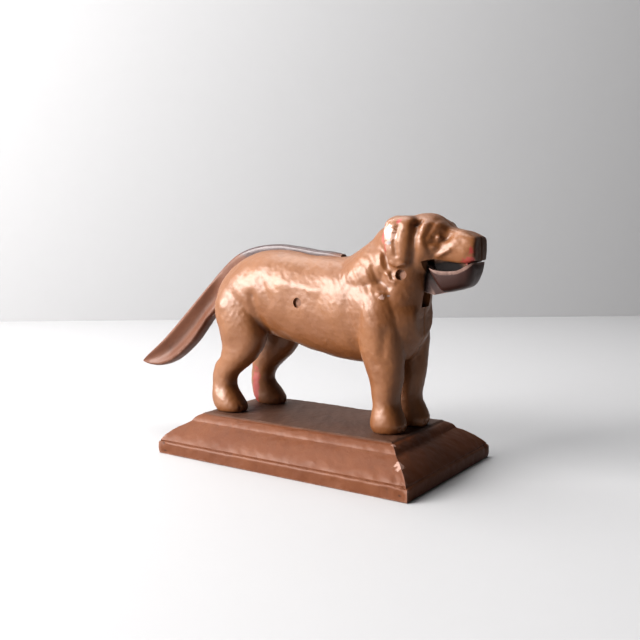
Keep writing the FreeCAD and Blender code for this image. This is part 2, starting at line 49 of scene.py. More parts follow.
MM = 0.001
PLINTH_X = 23.25
DECK = 23.6
ORIGIN = np.array([PLINTH_X, 0.0, DECK])
RIGHT, LEFT = -1, 1
CASTING_GRAIN = 0.00065

# ---- Numbers shared by the pieces --------------------------------------------------------

# Trunk from rump to breast, and head from nape to nose:
# x, bottom, top, half breadth, squareness of the section.
TRUNK = [
    (-69.5, 60.0, 77.5, 12.5, 2.0), (-63.0, 51.0, 86.0, 18.5, 2.0), (-51.0, 47.5, 94.8, 21.5, 2.0),
    (-36.0, 47.0, 98.9, 22.0, 2.0), (-20.0, 44.5, 99.3, 21.6, 2.1), (0.0, 39.6, 96.4, 21.0, 2.1),
    (18.0, 36.6, 95.7, 21.4, 2.1), (36.0, 35.6, 96.5, 22.0, 2.0), (52.0, 39.0, 92.0, 20.5, 2.0),
    (63.0, 44.0, 84.0, 16.5, 2.0), (69.0, 52.0, 76.0, 11.0, 2.0),
]
HEAD = [
    (40.0, 97.0, 106.5, 6.0, 2.2), (46.0, 90.0, 111.5, 12.0, 2.2), (53.0, 85.0, 115.2, 14.8, 2.3),
    (62.0, 83.0, 117.2, 15.8, 2.4), (70.0, 85.0, 118.8, 15.4, 2.3), (77.0, 89.0, 118.0, 13.8, 2.2),
    (82.0, 91.0, 115.0, 12.2, 2.2), (86.0, 91.5, 111.6, 10.8, 2.4), (90.0, 91.5, 110.2, 10.0, 2.8),
    (95.0, 91.5, 109.2, 9.6, 3.2), (99.5, 92.5, 107.2, 9.0, 3.8), (101.6, 93.2, 106.2, 8.2, 4.0),
]
# Neck: x and z of the centre, half length square to its axis, half breadth.
NECK = [
    (27.0, 73.5, 20.0, 20.0), (41.0, 84.5, 18.6, 19.2), (52.0, 93.5, 16.8, 16.2),
    (61.0, 100.5, 12.0, 11.0),
]
NECK_LEAN = math.radians(40)
# Throat and breast, upwards: z, back, front, half breadth.
THROAT = [
    (39.0, 40.0, 60.0, 11.0), (46.0, 35.0, 64.8, 15.5), (56.0, 33.0, 67.2, 18.5), (67.5, 33.0, 69.6, 18.6),
    (78.5, 37.0, 71.6, 17.2), (88.5, 43.0, 72.8, 16.2), (94.4, 47.0, 73.2, 15.4),
]
# Legs and ear, upwards: z, back, front, inner, outer.
HIND_LEG = [
    (0.0, -64.5, -46.0, 8.0, 23.5), (4.0, -68.0, -45.5, 7.5, 24.5), (9.0, -69.5, -49.0, 8.0, 23.8),
    (15.5, -69.6, -53.6, 8.5, 22.0), (22.0, -69.2, -51.8, 8.5, 21.8), (28.5, -67.5, -43.8, 7.0, 22.2),
    (34.0, -63.5, -37.6, 6.0, 22.6), (41.0, -61.8, -32.6, 5.0, 22.8), (49.0, -63.6, -31.0, 4.0, 23.2),
    (58.0, -66.6, -33.0, 3.0, 23.6), (68.0, -66.8, -37.0, 3.0, 22.8), (78.0, -62.0, -42.0, 3.0, 19.6),
]
FRONT_LEG = [
    (0.0, 44.5, 61.5, 3.2, 19.0), (4.0, 43.0, 63.5, 2.5, 20.2), (9.0, 43.6, 61.8, 2.8, 19.6),
    (15.5, 44.4, 59.4, 3.2, 18.2), (22.0, 43.8, 59.8, 3.2, 18.4), (29.5, 42.0, 61.6, 3.0, 19.0),
    (36.5, 39.5, 62.2, 3.0, 20.0), (44.5, 37.0, 62.6, 2.6, 21.4), (54.5, 35.5, 62.6, 2.0, 22.4),
    (66.5, 36.0, 61.6, 2.0, 22.4), (77.0, 39.0, 58.0, 2.0, 20.0),
]
EAR = [
    (90.0, 59.0, 65.0, 11.0, 16.4), (92.4, 57.0, 67.4, 10.0, 18.2), (97.0, 55.2, 69.2, 9.0, 19.2),
    (102.5, 54.2, 69.9, 8.0, 19.3), (108.0, 53.2, 70.2, 7.0, 19.0), (113.0, 53.0, 70.6, 6.0, 18.0),
    (116.0, 54.6, 69.8, 5.0, 15.8), (117.6, 57.5, 67.5, 5.0, 13.0),
]
LEFT_HIND_STEP = 6.0
LEFT_FRONT_STEP = 2.5

MOUTH = [
    (73.5, 93.6), (77.0, 94.6), (80.8, 94.8), (85.0, 93.9), (89.0, 93.2), (95.0, 92.7), (98.6, 93.0),
    (99.4, 94.0), (112.0, 94.0), (112.0, 30.0), (73.5, 30.0),
]

JAW_PIN = (63.2, 86.6)
TIE_PIN = (-0.8, 69.5)
JAW_PIN_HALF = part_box("jaw_pin")[1][1] / MM
TIE_PIN_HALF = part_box("tie_pin")[1][1] / MM
PIN_HOLE = 2.1
PIN_MOUTH = 2.9
THROAT_HALF = 4.2
THROAT_RADIUS = 18.0
SLOT_HALF = 3.5
WALL = 6.5

SPINE_EDGE = [
    (17.6, 96.6), (9.0, 98.2), (0.9, 98.9), (-13.6, 101.0), (-28.5, 102.4), (-45.7, 100.9),
    (-60.3, 96.2), (-73.1, 87.2), (-84.6, 76.0),
]
TAIL_UPPER = [(-99.0, 63.0), (-114.0, 49.4), (-127.0, 38.2), (-139.5, 28.6), (-148.5, 21.6)]
TAIL_LOWER = [
    (-82.4, 56.0), (-90.0, 48.0), (-98.8, 38.2), (-109.8, 29.2), (-119.8, 23.2), (-130.5, 19.8),
    (-141.5, 20.0), (-148.5, 21.6),
]
# The strip along the back and the tail's blade: half thickness, and the strip's depth at its front
# and rear. The blade begins at an x and is full thickness a little further back.
STRIP_HALF = 3.0
STRIP_DEPTH = (12.0, 21.0)
BLADE_HALF = 5.0
BLADE_FROM = -72.0
BLADE_BLEND = 14.0
TAIL_DISH = 2.8
# The bar inside the dog, from under the tail forward to the hub and back along its top.
BAR_UNDERSIDE = [
    (-82.4, 56.0), (-74.5, 62.0), (-58.0, 69.5), (-40.0, 72.4), (-20.0, 72.9), (-6.0, 71.9), (4.5, 71.9),
]
BAR_FRONT_LOWER = [(9.5, 65.0), (18.0, 62.6), (28.0, 63.4), (40.0, 69.2), (52.0, 76.0), (59.2, 79.8)]
BAR_FRONT_UPPER = [(61.2, 94.0), (52.0, 92.2), (42.0, 87.8), (32.0, 81.6), (24.0, 76.2), (17.6, 74.6)]
BAR_TOP = [(17.0, 88.0), (0.0, 89.0), (-28.0, 92.0), (-46.0, 90.0), (-60.0, 85.0), (-72.0, 77.0)]
BAR_HALF = 3.0
HUB_RADIUS = 8.0
HUB_HALF = 3.8
HUB_BORE = 2.15
SLOT = [
    (-100.0, 41.4), (-82.4, 55.4), (-74.5, 61.4), (-58.0, 68.9), (-40.0, 71.8), (-20.0, 72.3), (-6.0, 65.4),
    (4.5, 63.4), (9.5, 64.4), (18.0, 62.0), (28.0, 62.8), (40.0, 68.6), (52.0, 75.4), (59.2, 79.2),
    (66.0, 78.0), (66.0, 98.0), (58.0, 99.6), (44.0, 98.6), (32.0, 97.4), (22.2, 95.6), (22.2, 130.0),
    (-100.0, 130.0),
]
JAW_NECK = [(63.0, 79.2), (77.0, 75.6), (85.0, 77.3), (83.0, 87.6), (76.4, 90.3), (64.0, 94.0)]
JAW_WALL = 2.2
JAW_END_WALL = 2.4
JAW_FLOOR = 2.4
SCOOP_MIDDLE = 87.4
SCOOP_REACH = 10.4
# Lower jaw from its back to its lip: x, underside, rim, half width.
JAW = [
    (76.2, 88.6, 90.3, 8.6), (77.2, 85.6, 89.8, 9.1), (79.4, 81.4, 89.1, 9.4), (82.2, 77.6, 88.7, 9.5),
    (85.0, 77.2, 88.5, 9.5), (89.0, 78.0, 88.6, 9.5), (93.0, 79.0, 89.2, 9.4), (97.2, 80.8, 91.4, 8.9),
    (99.6, 85.0, 92.7, 8.0), (100.6, 89.4, 93.1, 7.0),
]

# Plinth: half length and half width at the foot, and the moulding from the foot upwards as
# (inset, height) shares of its run and rise, with the middle point of each round stretch.
PLINTH_HALF = (86.0, 50.0)
FASCIA = 6.2
RUN = 20.5
MOULDING = [
    ((0.0, 0.0), None), ((0.055, 0.075), (0.02, 0.055)), ((0.055, 0.12), None),
    ((0.645, 0.685), (0.30, 0.43)), ((0.70, 0.725), None), ((0.935, 0.955), (0.80, 0.875)),
    ((1.0, 1.0), None),
]
# The hollow under the plinth from its foot inwards: inset and height above the table.
UNDERSIDE = [
    (0.4, 0.0), (3.0, 0.0), (5.8, 0.0), (6.0, 0.3), (6.0, 3.2), (6.0, 6.0), (6.2, 6.2), (12.0, 6.2),
    (17.8, 6.2), (18.0, 6.5), (18.0, 12.0), (18.0, 18.3), (18.3, 18.6), (34.0, 18.6), (50.0, 18.6),
]
LONG_STEPS = 120
SHORT_STEPS = 70
# Foot screws: x and y. Their holes up through the deck: radius and z above it.
SCREWS = [(52.0, -11.0), (54.5, 11.0), (-58.0, -15.8), (-52.0, 15.8)]
SCREW_HOLE = [(4.5, -5.4), (4.5, -5.0), (2.5, -3.0), (2.5, 3.0)]
TAPPED_HOLE = [(2.5, -6.0), (2.5, 14.0)]

# A block in side view that takes in the whole dog, and how far tools reach: past both sides, past
# the skin round a pin, past the nose and over the middle plane. Each half stops short of that plane.
WHOLE_DOG = [(-160, -10), (160, -10), (160, 140), (-160, 140)]
PAST_SIDES = 60.0
PAST_SKIN = 40.0
PAST_NOSE = 130.0
PAST_SEAM = 8.0
SEAM_GAP = 0.02


# ---- Surfaces ----------------------------------------------------------------------------

def smooth_rows(rows, count):
    """A table's rows joined by Catmull-Rom curves, count rows in all, evenly by row number."""
    rows = np.array(rows, float)
    ends = np.vstack([2 * rows[0] - rows[1], rows, 2 * rows[-1] - rows[-2]])
    t = np.linspace(0, len(rows) - 1, count)
    i = np.minimum(t.astype(int), len(rows) - 2)
    f = (t - i)[:, None]
    a, b, c, d = ends[i], ends[i + 1], ends[i + 2], ends[i + 3]
    return 0.5 * (2 * b + (c - a) * f + (2 * a - 5 * b + 4 * c - d) * f**2 + (3 * b - a - 3 * c + d) * f**3)


def even_path(points, count):
    """A smooth line through places in a plane, with its points evenly spaced along it."""
    fine = smooth_rows(points, 40 * len(points))
    run = np.concatenate([[0.0], np.cumsum(np.linalg.norm(np.diff(fine, axis=0), axis=1))])
    at = np.linspace(0, run[-1], count)
    return np.stack([np.interp(at, run, fine[:, k]) for k in range(fine.shape[1])], axis=1)


def section_faces(rows, columns):
    """Quads between the sections of a tube, each section closed on itself."""
    i = np.arange(rows - 1)[:, None] * columns
    j = np.arange(columns)[None, :]
    after = (j + 1) % columns
    return np.stack([i + j, i + after, i + columns + after, i + columns + j], axis=-1).reshape(-1, 4)


def closed_tube(sections):
    """Sections of equal count joined one to the next, with a flat cap on each end."""
    rows, columns = sections.shape[:2]
    faces = section_faces(rows, columns).tolist()
    faces.append(list(range(columns))[::-1])
    faces.append([(rows - 1) * columns + k for k in range(columns)])
    return sections.reshape(-1, 3), faces


def superellipse(squareness, count):
    """Sections |u|^n + |v|^n = 1 for each squareness n: two arrays, a row for each section."""
    turn = np.linspace(0, 2 * np.pi, count, endpoint=False)[None, :]
    power = 2.0 / np.asarray(squareness, float)[:, None]
    c, s = np.cos(turn), np.sin(turn)
    return np.sign(c) * np.abs(c) ** power, np.sign(s) * np.abs(s) ** power


def upright_mass(table, count=60, around=56):
    """A mass along x: superellipse sections square to x, sized by the table's rows."""
    x, bottom, top, half, squareness = smooth_rows(table, count).T
    u, v = superellipse(squareness, around)
    middle, rise = (bottom + top)[:, None] / 2, (top - bottom)[:, None] / 2
    return closed_tube(np.stack([x[:, None] + 0 * u, u * half[:, None], middle + v * rise], axis=-1))


def level_mass(table, side, step, squareness=2.3, count=60, around=48):
    """A leg or an ear, upwards: superellipse sections square to z, on one side, moved forward."""
    z, back, front, inner, outer = smooth_rows(table, count).T
    u, v = superellipse(np.full(count, squareness), around)
    x = (back + front)[:, None] / 2 + step + u * (front - back)[:, None] / 2
    y = side * ((inner + outer)[:, None] / 2 + v * (outer - inner)[:, None] / 2)
    return closed_tube(np.stack([x, y, z[:, None] + 0 * u], axis=-1))


def throat_mass():
    """The breast and throat, upwards: nearly square sections across the middle plane."""
    z, back, front, half = smooth_rows(THROAT, 50).T
    u, v = superellipse(np.full(50, 2.5), 48)
    x = (back + front)[:, None] / 2 + u * (front - back)[:, None] / 2
    return closed_tube(np.stack([x, v * half[:, None], z[:, None] + 0 * u], axis=-1))


def neck_mass():
    """The neck: round sections square to an axis that leans forward."""
    x, z, half_length, half = smooth_rows(NECK, 40).T
    u, v = superellipse(np.full(40, 2.0), 48)
    along = v * half_length[:, None]
    return closed_tube(np.stack([x[:, None] - along * math.sin(NECK_LEAN), u * half[:, None],
                                 z[:, None] + along * math.cos(NECK_LEAN)], axis=-1))


def plate(outline, low, high):
    """An outline in side view carried from y = low to y = high."""
    line = np.array(outline, float)
    section = np.stack([line[:, 0], 0 * line[:, 0], line[:, 1]], axis=-1)
    return closed_tube(np.stack([section + (0, low, 0), section + (0, high, 0)]))


def round_bar(centre, radius, low, high, around=48):
    """A cylinder parallel to y about a place in side view."""
    turn = np.linspace(0, 2 * np.pi, around, endpoint=False)
    circle = np.stack([centre[0] + radius * np.cos(turn), centre[1] + radius * np.sin(turn)], axis=1)
    return plate(circle, low, high)


def turned(profile, x, y, around=40):
    """A profile of (radius, z) turned about an upright axis."""
    turn = np.linspace(0, 2 * np.pi, around, endpoint=False)[None, :]
    radius, z = np.array(profile, float).T
    return closed_tube(np.stack([x + radius[:, None] * np.cos(turn), y + radius[:, None] * np.sin(turn),
                                 z[:, None] + 0 * turn], axis=-1))


def ripple(points, wave, seed, count=26):
    """Lumpy noise: the sum of many cosine waves of about one length, each in its own direction."""
    rng = np.random.default_rng(seed)
    direction = rng.normal(size=(count, 3))
    direction /= np.linalg.norm(direction, axis=1)[:, None]
    turns = direction * (2 * np.pi / (wave * rng.uniform(0.7, 1.45, count)))[:, None]
    return np.cos(points @ turns.T + rng.uniform(0, 2 * np.pi, count)).sum(axis=1) * math.sqrt(2 / count)


def from_line(points, path):
    """How far each point is from a row of straight lines, in as many axes as both have."""
    path = np.array(path, float)
    if len(path) == 1:
        return np.linalg.norm(points - path[0], axis=1)
    far = np.full(len(points), 1e9)
    for a, b in zip(path[:-1], path[1:]):
        along = np.clip((points - a) @ (b - a) / ((b - a) @ (b - a)), 0, 1)
        far = np.minimum(far, np.linalg.norm(points - a - along[:, None] * (b - a), axis=1))
    return far


# ---- Meshes ------------------------------------------------------------------------------

def solid(name, *surfaces):
    """An object at the origin with the given closed surfaces in one mesh."""
    points, faces, first = [], [], 0
    for surface_points, surface_faces in surfaces:
        points.append(surface_points)
        faces += [[first + k for k in face] for face in surface_faces]
        first += len(surface_points)
    mesh = bpy.data.meshes.new(name)
    mesh.from_pydata(((np.vstack(points) + ORIGIN) * MM).tolist(), [], faces)
    made = bpy.data.objects.new(name, mesh)
    bpy.context.scene.collection.objects.link(made)
    outwards(made)
    return made


def outwards(obj):
    """Merges doubled points and turns every face outwards."""
    work = bmesh.new()
    work.from_mesh(obj.data)
    bmesh.ops.remove_doubles(work, verts=work.verts, dist=1e-6)
    bmesh.ops.recalc_face_normals(work, faces=work.faces)
    work.to_mesh(obj.data)
    work.free()


def settle(obj):
    """Puts the result of the modifiers in place of the mesh that they work on."""
    graph = bpy.context.evaluated_depsgraph_get()
    mesh = bpy.data.meshes.new_from_object(obj.evaluated_get(graph))
    obj.modifiers.clear()
    obj.data = mesh


def one_casting(obj, grain, passes):
    """Melts overlapping solids into one skin of small even faces and softens where they meet."""
    melt = obj.modifiers.new("melt", "REMESH")
    melt.mode = "VOXEL"
    melt.voxel_size = grain
    soften = obj.modifiers.new("soften", "SMOOTH")
    soften.factor = 0.5
    soften.iterations = passes
    settle(obj)


def carve(obj, *tools, operation="DIFFERENCE"):
    """Cuts tools from an object, or joins them to it, and removes them."""
    for tool in tools:
        step = obj.modifiers.new("carve", "BOOLEAN")
        step.operation = operation
        step.solver = "MANIFOLD"
        step.object = tool
    settle(obj)
    for tool in tools:
        bpy.data.objects.remove(tool)


def points_of(mesh):
    """The vertices in millimetres from the tables' origin."""
    flat = np.empty(len(mesh.vertices) * 3, np.float32)
    mesh.vertices.foreach_get("co", flat)
    return flat.reshape(-1, 3).astype(float) / MM - ORIGIN


def normals_of(mesh):
    """The vertices' normals."""
    flat = np.empty(len(mesh.vertices) * 3, np.float32)
    mesh.vertices.foreach_get("normal", flat)
    return flat.reshape(-1, 3).astype(float)


def put_points(mesh, points):
    """Moves the vertices to new places in millimetres."""
    mesh.vertices.foreach_set("co", ((points + ORIGIN) * MM).astype(np.float32).ravel())
    mesh.update()


def blurred(mesh, values, passes):
    """Each vertex's value averaged with its neighbours', again and again."""
    pairs = np.empty(len(mesh.edges) * 2, np.int32)
    mesh.edges.foreach_get("vertices", pairs)
    a, b = pairs.reshape(-1, 2).T
    ends, others = np.concatenate([a, b]), np.concatenate([b, a])
    share = np.maximum(np.bincount(ends, minlength=len(values)), 1)
    for _ in range(passes):
        sums = [np.bincount(ends, values[others, k], len(values)) for k in range(values.shape[1])]
        around = np.stack(sums, 1)
        values = 0.5 * values + 0.5 * around / share[:, None]
    return values


def note_ridges(obj, passes=12, reach=0.30):
    """Stores how far each point stands out of the surface round it, from -1 in hollows to 1 on ridges."""
    mesh = obj.data
    points, normals = points_of(mesh), normals_of(mesh)
    out = ((points - blurred(mesh, points, passes)) * normals).sum(axis=1)
    attribute = mesh.attributes.new("ridge", "FLOAT", "POINT")
    attribute.data.foreach_set("value", np.clip(out / reach, -1, 1).astype(np.float32))


def finish_shading(obj, angle):
    """Smooth shading, broken where faces meet at more than an angle."""
    obj.data.polygons.foreach_set("use_smooth", np.ones(len(obj.data.polygons), bool))
    obj.data.set_sharp_from_angle(angle=math.radians(angle))


# ---- Dog's coat --------------------------------------------------------------------------

# Modelling on the dog's sides, seen from the side: height, width, and the line it follows.
SIDE_STROKES = [
    (-1.9, 2.8, [(81.6, 106.2), (86.0, 108.4)]),
    (-1.2, 1.6, [(80.0, 103.4), (83.0, 103.0), (86.0, 105.6)]),
    (1.1, 1.3, [(83.2, 106.6)]),
    (1.2, 2.0, [(75.0, 112.2), (82.0, 112.6), (89.0, 110.8)]),
    (-1.1, 2.1, [(89.6, 108.6), (85.8, 103.4), (82.6, 99.4), (80.4, 96.6)]),
    (0.9, 1.2, [(81.6, 96.2), (85.0, 97.9), (88.4, 99.6)]),
    (0.8, 2.6, [(91.0, 101.0), (96.0, 98.6)]),
    (-0.8, 1.5, [(79.2, 112.0), (77.0, 106.0), (78.6, 99.0)]),
    (0.9, 3.6, [(74.0, 106.4), (74.6, 101.0)]),
    (-0.8, 1.9, [(72.6, 112.4), (71.4, 106.0), (71.0, 99.0), (69.6, 93.6)]),
    (-1.1, 1.2, [(70.6, 112.8), (72.8, 114.0)]),
    (0.6, 0.9, [(55.0, 110.0), (55.8, 101.0), (57.6, 94.0), (61.6, 91.4), (66.4, 92.8)]),
    (-0.7, 1.6, [(63.0, 112.0), (61.0, 104.0), (62.0, 97.0)]),
    (-0.35, 1.9, [(53.4, 96.0), (55.0, 91.0), (58.6, 88.4)]),
    (0.6, 1.5, [(50.6, 98.0), (51.6, 91.4), (55.0, 87.0)]),
    (0.6, 1.1, [(56.4, 86.4), (57.4, 83.6), (60.0, 82.4)]),
    (-0.6, 0.9, [(57.6, 87.2), (58.6, 84.8)]),
    (-0.5, 1.6, [(47.0, 90.0), (50.0, 84.0), (56.0, 79.6)]),
    (0.5, 2.0, [(43.6, 86.0), (47.6, 80.0), (54.0, 76.0)]),
    (1.2, 6.5, [(50.0, 60.0), (46.0, 72.0)]),
    (-0.6, 4.0, [(34.0, 80.0), (32.6, 64.0), (36.0, 48.0)]),
    (-0.8, 2.6, [(57.0, 56.0), (55.0, 44.0)]),
    (-0.4, 2.6, [(46.0, 43.0), (50.0, 39.0), (57.0, 38.6)]),
    (1.3, 8.0, [(-55.0, 64.0), (-52.0, 52.0)]),
    (-1.3, 3.4, [(-34.0, 72.0), (-31.0, 60.0), (-29.0, 50.0)]),
    (-0.6, 3.2, [(-26.0, 62.0), (-20.0, 52.0), (-13.0, 46.0)]),
    (-0.35, 2.6, [(-62.0, 32.0), (-60.6, 22.0), (-59.0, 12.0)]),
    (0.3, 2.4, [(-66.5, 34.0), (-66.8, 22.0), (-65.5, 12.0)]),
    (-0.7, 3.0, [(-28.0, 82.0), (-20.0, 70.0)]),
    (0.7, 3.6, [(-12.0, 80.0), (12.0, 77.0)]),
]
TOE_GROOVE = (-0.9, 0.75)
SEAM_GROOVE = (-0.45, 0.55)
# Below this height the left legs stand forward of the right ones.
LEG_TOP = 46.0
# Fur on the shoulder: height, length of its waves, centre and reach in side view.
FUR = (0.08, 2.6)
FUR_CENTRE = (38, 74)
FUR_REACH = (20, 22)
FUR_LEAN = np.array([[0.86, 0.0, 0.18], [0.0, 1.0, 0.0], [0.50, 0.0, -0.10]])
# Casting lumps: height, wave length and seed.
COAT_LUMPS = [(0.11, 15.0, 3), (0.035, 6.0, 4), (0.022, 2.6, 5)]
PLINTH_LUMPS = [(0.10, 22.0, 21), (0.06, 7.0, 22), (0.04, 3.2, 23)]


def toe_lines(front, middle, step):
    """Grooves between the toes, over the front of a paw."""
    return [[(front + step + 1.0, middle + off, 0.6), (front + step - 0.5, middle + off, 3.6),
             (front + step - 6.0, middle + 0.8 * off, 6.6)] for off in (-3.4, 0.4, 4.0)]


def coat_height(points, normals, side, hind_step, front_step):
    """How far the coat stands out of the plain masses: strokes, fur, toes, seam and casting lumps."""
    height = np.zeros(len(points))
    facing = np.clip(normals[:, 1] * side * 1.6, 0, 1)
    flat = points[:, [0, 2]].copy()
    lift = np.where(points[:, 2] < LEG_TOP, 1.0, 0.0)
    flat[:, 0] -= lift * np.where(points[:, 0] < 0, hind_step, front_step)
    for rise, width, line in SIDE_STROKES:
        height += rise * facing * np.exp(-((from_line(flat, line) / width) ** 2))
    rise, width = TOE_GROOVE
    for lines in (toe_lines(-46.0, side * 16.0, hind_step), toe_lines(62.8, side * 11.4, front_step)):
        for line in lines:
            height += rise * np.exp(-((from_line(points, line) / width) ** 2))
    rise, width = SEAM_GROOVE
    height += rise * np.exp(-((points[:, 1] / width) ** 2))
    rise, wave = FUR
    fur = np.exp(-(((points[:, 0] - FUR_CENTRE[0]) / FUR_REACH[0]) ** 2
                   + ((points[:, 2] - FUR_CENTRE[1]) / FUR_REACH[1]) ** 2))
    height += rise * fur * ripple(points @ FUR_LEAN, wave, 11) * facing
    height += sum(rise * ripple(points, wave, seed) for rise, wave, seed in COAT_LUMPS)
    return height


# The block under the palate that the nut is pressed against.
ANVIL = [(77.5, 98.0), (78.6, 90.8), (80.2, 88.6), (92.5, 88.6), (97.0, 92.2), (97.8, 98.0)]
ANVIL_HALF = 6.0


def openings(side):
    """Tools for one half body: slot, throat, mouth, pin holes, foot screws and the trunk's hollow."""
    hollow_rows = [(x, low + WALL, high - WALL, half - WALL, 2.0) for x, low, high, half, _ in TRUNK[2:-3]]
    tools = [
        solid("slot", plate(SLOT, -SLOT_HALF, SLOT_HALF)),
        solid("throat_round", round_bar(JAW_PIN, THROAT_RADIUS, -THROAT_HALF, THROAT_HALF, 96)),
        solid("throat_front", plate([(JAW_PIN[0], JAW_PIN[1]), (JAW_PIN[0], JAW_PIN[1] - THROAT_RADIUS),
                                     (PAST_NOSE, JAW_PIN[1] - THROAT_RADIUS), (PAST_NOSE, JAW_PIN[1])],
                                    -THROAT_HALF, THROAT_HALF)),
        solid("hollow", upright_mass(hollow_rows, 24, 32)),
    ]
    for name, place, half in (("jaw", JAW_PIN, JAW_PIN_HALF), ("tie", TIE_PIN, TIE_PIN_HALF)):
        tools.append(solid(name + "_hole", round_bar(place, PIN_HOLE, -PAST_SKIN, PAST_SKIN, 32)))
        low, high = sorted((side * half, side * PAST_SKIN))
        tools.append(solid(name + "_mouth", round_bar(place, PIN_MOUTH, low, high, 40)))
    for x, y in SCREWS:
        if y * side > 0:
            tools.append(solid("tap", turned(TAPPED_HOLE, x, y)))
    return tools


def half_coat(name, side, hind_step, front_step):
    """One half body: masses melted together, modelled, then cut at the middle plane and opened."""
    half = solid(name, upright_mass(TRUNK), neck_mass(), throat_mass(), upright_mass(HEAD, 90),
                 level_mass(EAR, side, 0.0, 2.6), level_mass(HIND_LEG, side, hind_step),
                 level_mass(FRONT_LEG, side, front_step))
    low, high = sorted((-side * PAST_SEAM, side * PAST_SIDES))
    one_casting(half, CASTING_GRAIN, 14)
    carve(half, solid("near_side", plate(WHOLE_DOG, low, high)), operation="INTERSECT")
    mesh = half.data
    points, normals = points_of(mesh), normals_of(mesh)
    points += normals * coat_height(points, normals, side, hind_step, front_step)[:, None]
    points[:, 2] = np.maximum(points[:, 2], 0.0)
    put_points(mesh, points)
    note_ridges(half)
    carve(half, solid("mouth", plate(MOUTH, -PAST_SIDES, PAST_SIDES)))
    carve(half, solid("anvil", plate(ANVIL, -ANVIL_HALF, ANVIL_HALF)), operation="UNION")
    low, high = sorted((-side * PAST_SIDES, side * SEAM_GAP))
    carve(half, *openings(side), solid("other_side", plate(WHOLE_DOG, low, high)))
    finish_shading(half, 42)
    return half


# ---- Lever: spine, tail and lower jaw ----------------------------------------------------

def tail_and_spine():
    """The strip along the back and the tail's blade: one section carried along both edges.

    Across the section the half thickness is t (1 - |2v - 1|^9)^(1/3) less a dish, sin(pi w)^1.4
    times its depth, with v from the lower edge to the upper and w the same over the middle four
    fifths. The thickness t grows from the strip to the blade and thins at the tip."""
    rows, tall = 260, 26
    upper = even_path(SPINE_EDGE + TAIL_UPPER, rows)
    strip = even_path(SPINE_EDGE, 120)
    chord = np.gradient(strip, axis=0)
    chord /= np.linalg.norm(chord, axis=1)[:, None]
    under = strip + np.stack([-chord[:, 1], chord[:, 0]], axis=1) * np.linspace(*STRIP_DEPTH, 120)[:, None]
    lower = even_path(np.vstack([under[:100:12], TAIL_LOWER]).tolist(), rows)
    reach = np.linspace(0, 1, rows)
    blade = np.clip((upper[:, 0] - BLADE_FROM) / -BLADE_BLEND, 0, 1)
    blade = blade * blade * (3 - 2 * blade)
    tip = np.clip((1 - reach) / 0.05, 0, 1) ** 0.5
    thick = (STRIP_HALF + (BLADE_HALF - STRIP_HALF) * blade) * (0.45 + 0.55 * tip)
    dish = TAIL_DISH * blade * np.clip((1 - reach) / 0.16, 0, 1)
    v = (1 - np.cos(np.linspace(0, np.pi, tall))) / 2
    skin = np.maximum(1 - np.abs(2 * v - 1) ** 9, 0) ** (1 / 3)
    hollow = np.sin(np.pi * np.clip((v - 0.10) / 0.80, 0, 1)) ** 1.4
    half = thick[:, None] * skin[None, :] - dish[:, None] * hollow[None, :]
    place = lower[:, None, :] + (upper - lower)[:, None, :] * v[None, :, None]
    right = np.stack([place[..., 0], -half, place[..., 1]], axis=-1)
    left = np.stack([place[..., 0], half, place[..., 1]], axis=-1)[:, ::-1][:, 1:-1]
    return closed_tube(np.concatenate([right, left], axis=1))


def jaw_cup():
    """The lower jaw: outside a squarish half round hung from the rim, inside a scoop."""
    x, under, rim, half = smooth_rows(JAW, 90).T
    sweep = np.linspace(0, np.pi, 34)[None, :]
    c, s = np.cos(sweep), np.sin(sweep)
    outside = np.stack([x[:, None] + 0 * c, -np.sign(c) * np.abs(c) ** 0.62 * half[:, None],
                        rim[:, None] - np.abs(s) ** 0.8 * (rim - under)[:, None]], axis=-1)
    scoop = np.sqrt(np.clip(1 - ((x - SCOOP_MIDDLE) / SCOOP_REACH) ** 2, 0.0004, 1))
    wall = half - JAW_WALL - JAW_END_WALL * (1 - scoop)
    inside = np.stack([x[:, None] + 0 * c, np.sign(c) * np.abs(c) ** 0.8 * wall[:, None],
                       rim[:, None] - np.abs(s) * (scoop * (rim - under - JAW_FLOOR))[:, None]], axis=-1)
    return closed_tube(np.concatenate([outside, inside], axis=1))


def lever():
    """Tail, bar, hub, neck and lower jaw in one casting, bored for the jaw pin."""
    bar = BAR_UNDERSIDE + BAR_FRONT_LOWER + BAR_FRONT_UPPER + BAR_TOP
    whole = solid("nut_lever_cast", tail_and_spine())
    carve(whole, solid("bar", plate(bar, -BAR_HALF, BAR_HALF)),
          solid("hub", round_bar(JAW_PIN, HUB_RADIUS, -HUB_HALF, HUB_HALF, 64)),
          solid("jaw_neck", plate(JAW_NECK, -HUB_HALF, HUB_HALF)), solid("cup", jaw_cup()),
          operation="UNION")
    carve(whole, solid("bore", round_bar(JAW_PIN, HUB_BORE, -PAST_SKIN, PAST_SKIN, 40)))
    return whole


# ---- Plinth ------------------------------------------------------------------------------

def plinth_profile():
    """The plinth's wall from the middle of its deck out, down the moulding, under and in again."""
    last = None
    moulding = []
    for (inset, rise), middle in MOULDING:
        end = np.array([inset * RUN, FASCIA + rise * (DECK - FASCIA)])
        if last is None:
            moulding += [np.array([0.0, h]) for h in np.linspace(0.5, FASCIA - 0.5, 5)] + [end]
        else:
            t = np.linspace(0, 1, 15 if middle else 5)[1:, None]
            if middle:
                via = np.array([middle[0] * RUN, FASCIA + middle[1] * (DECK - FASCIA)])
                moulding += list(last * (1 - t) * (1 - 2 * t) + via * 4 * t * (1 - t) + end * t * (2 * t - 1))
            else:
                moulding += list(last * (1 - t) + end * t)
        last = end
    deck = [np.array([d, DECK]) for d in np.linspace(RUN, PLINTH_HALF[1], 20)[1:]]
    return np.array([tuple(p) for p in deck[::-1] + moulding[::-1]] + UNDERSIDE)


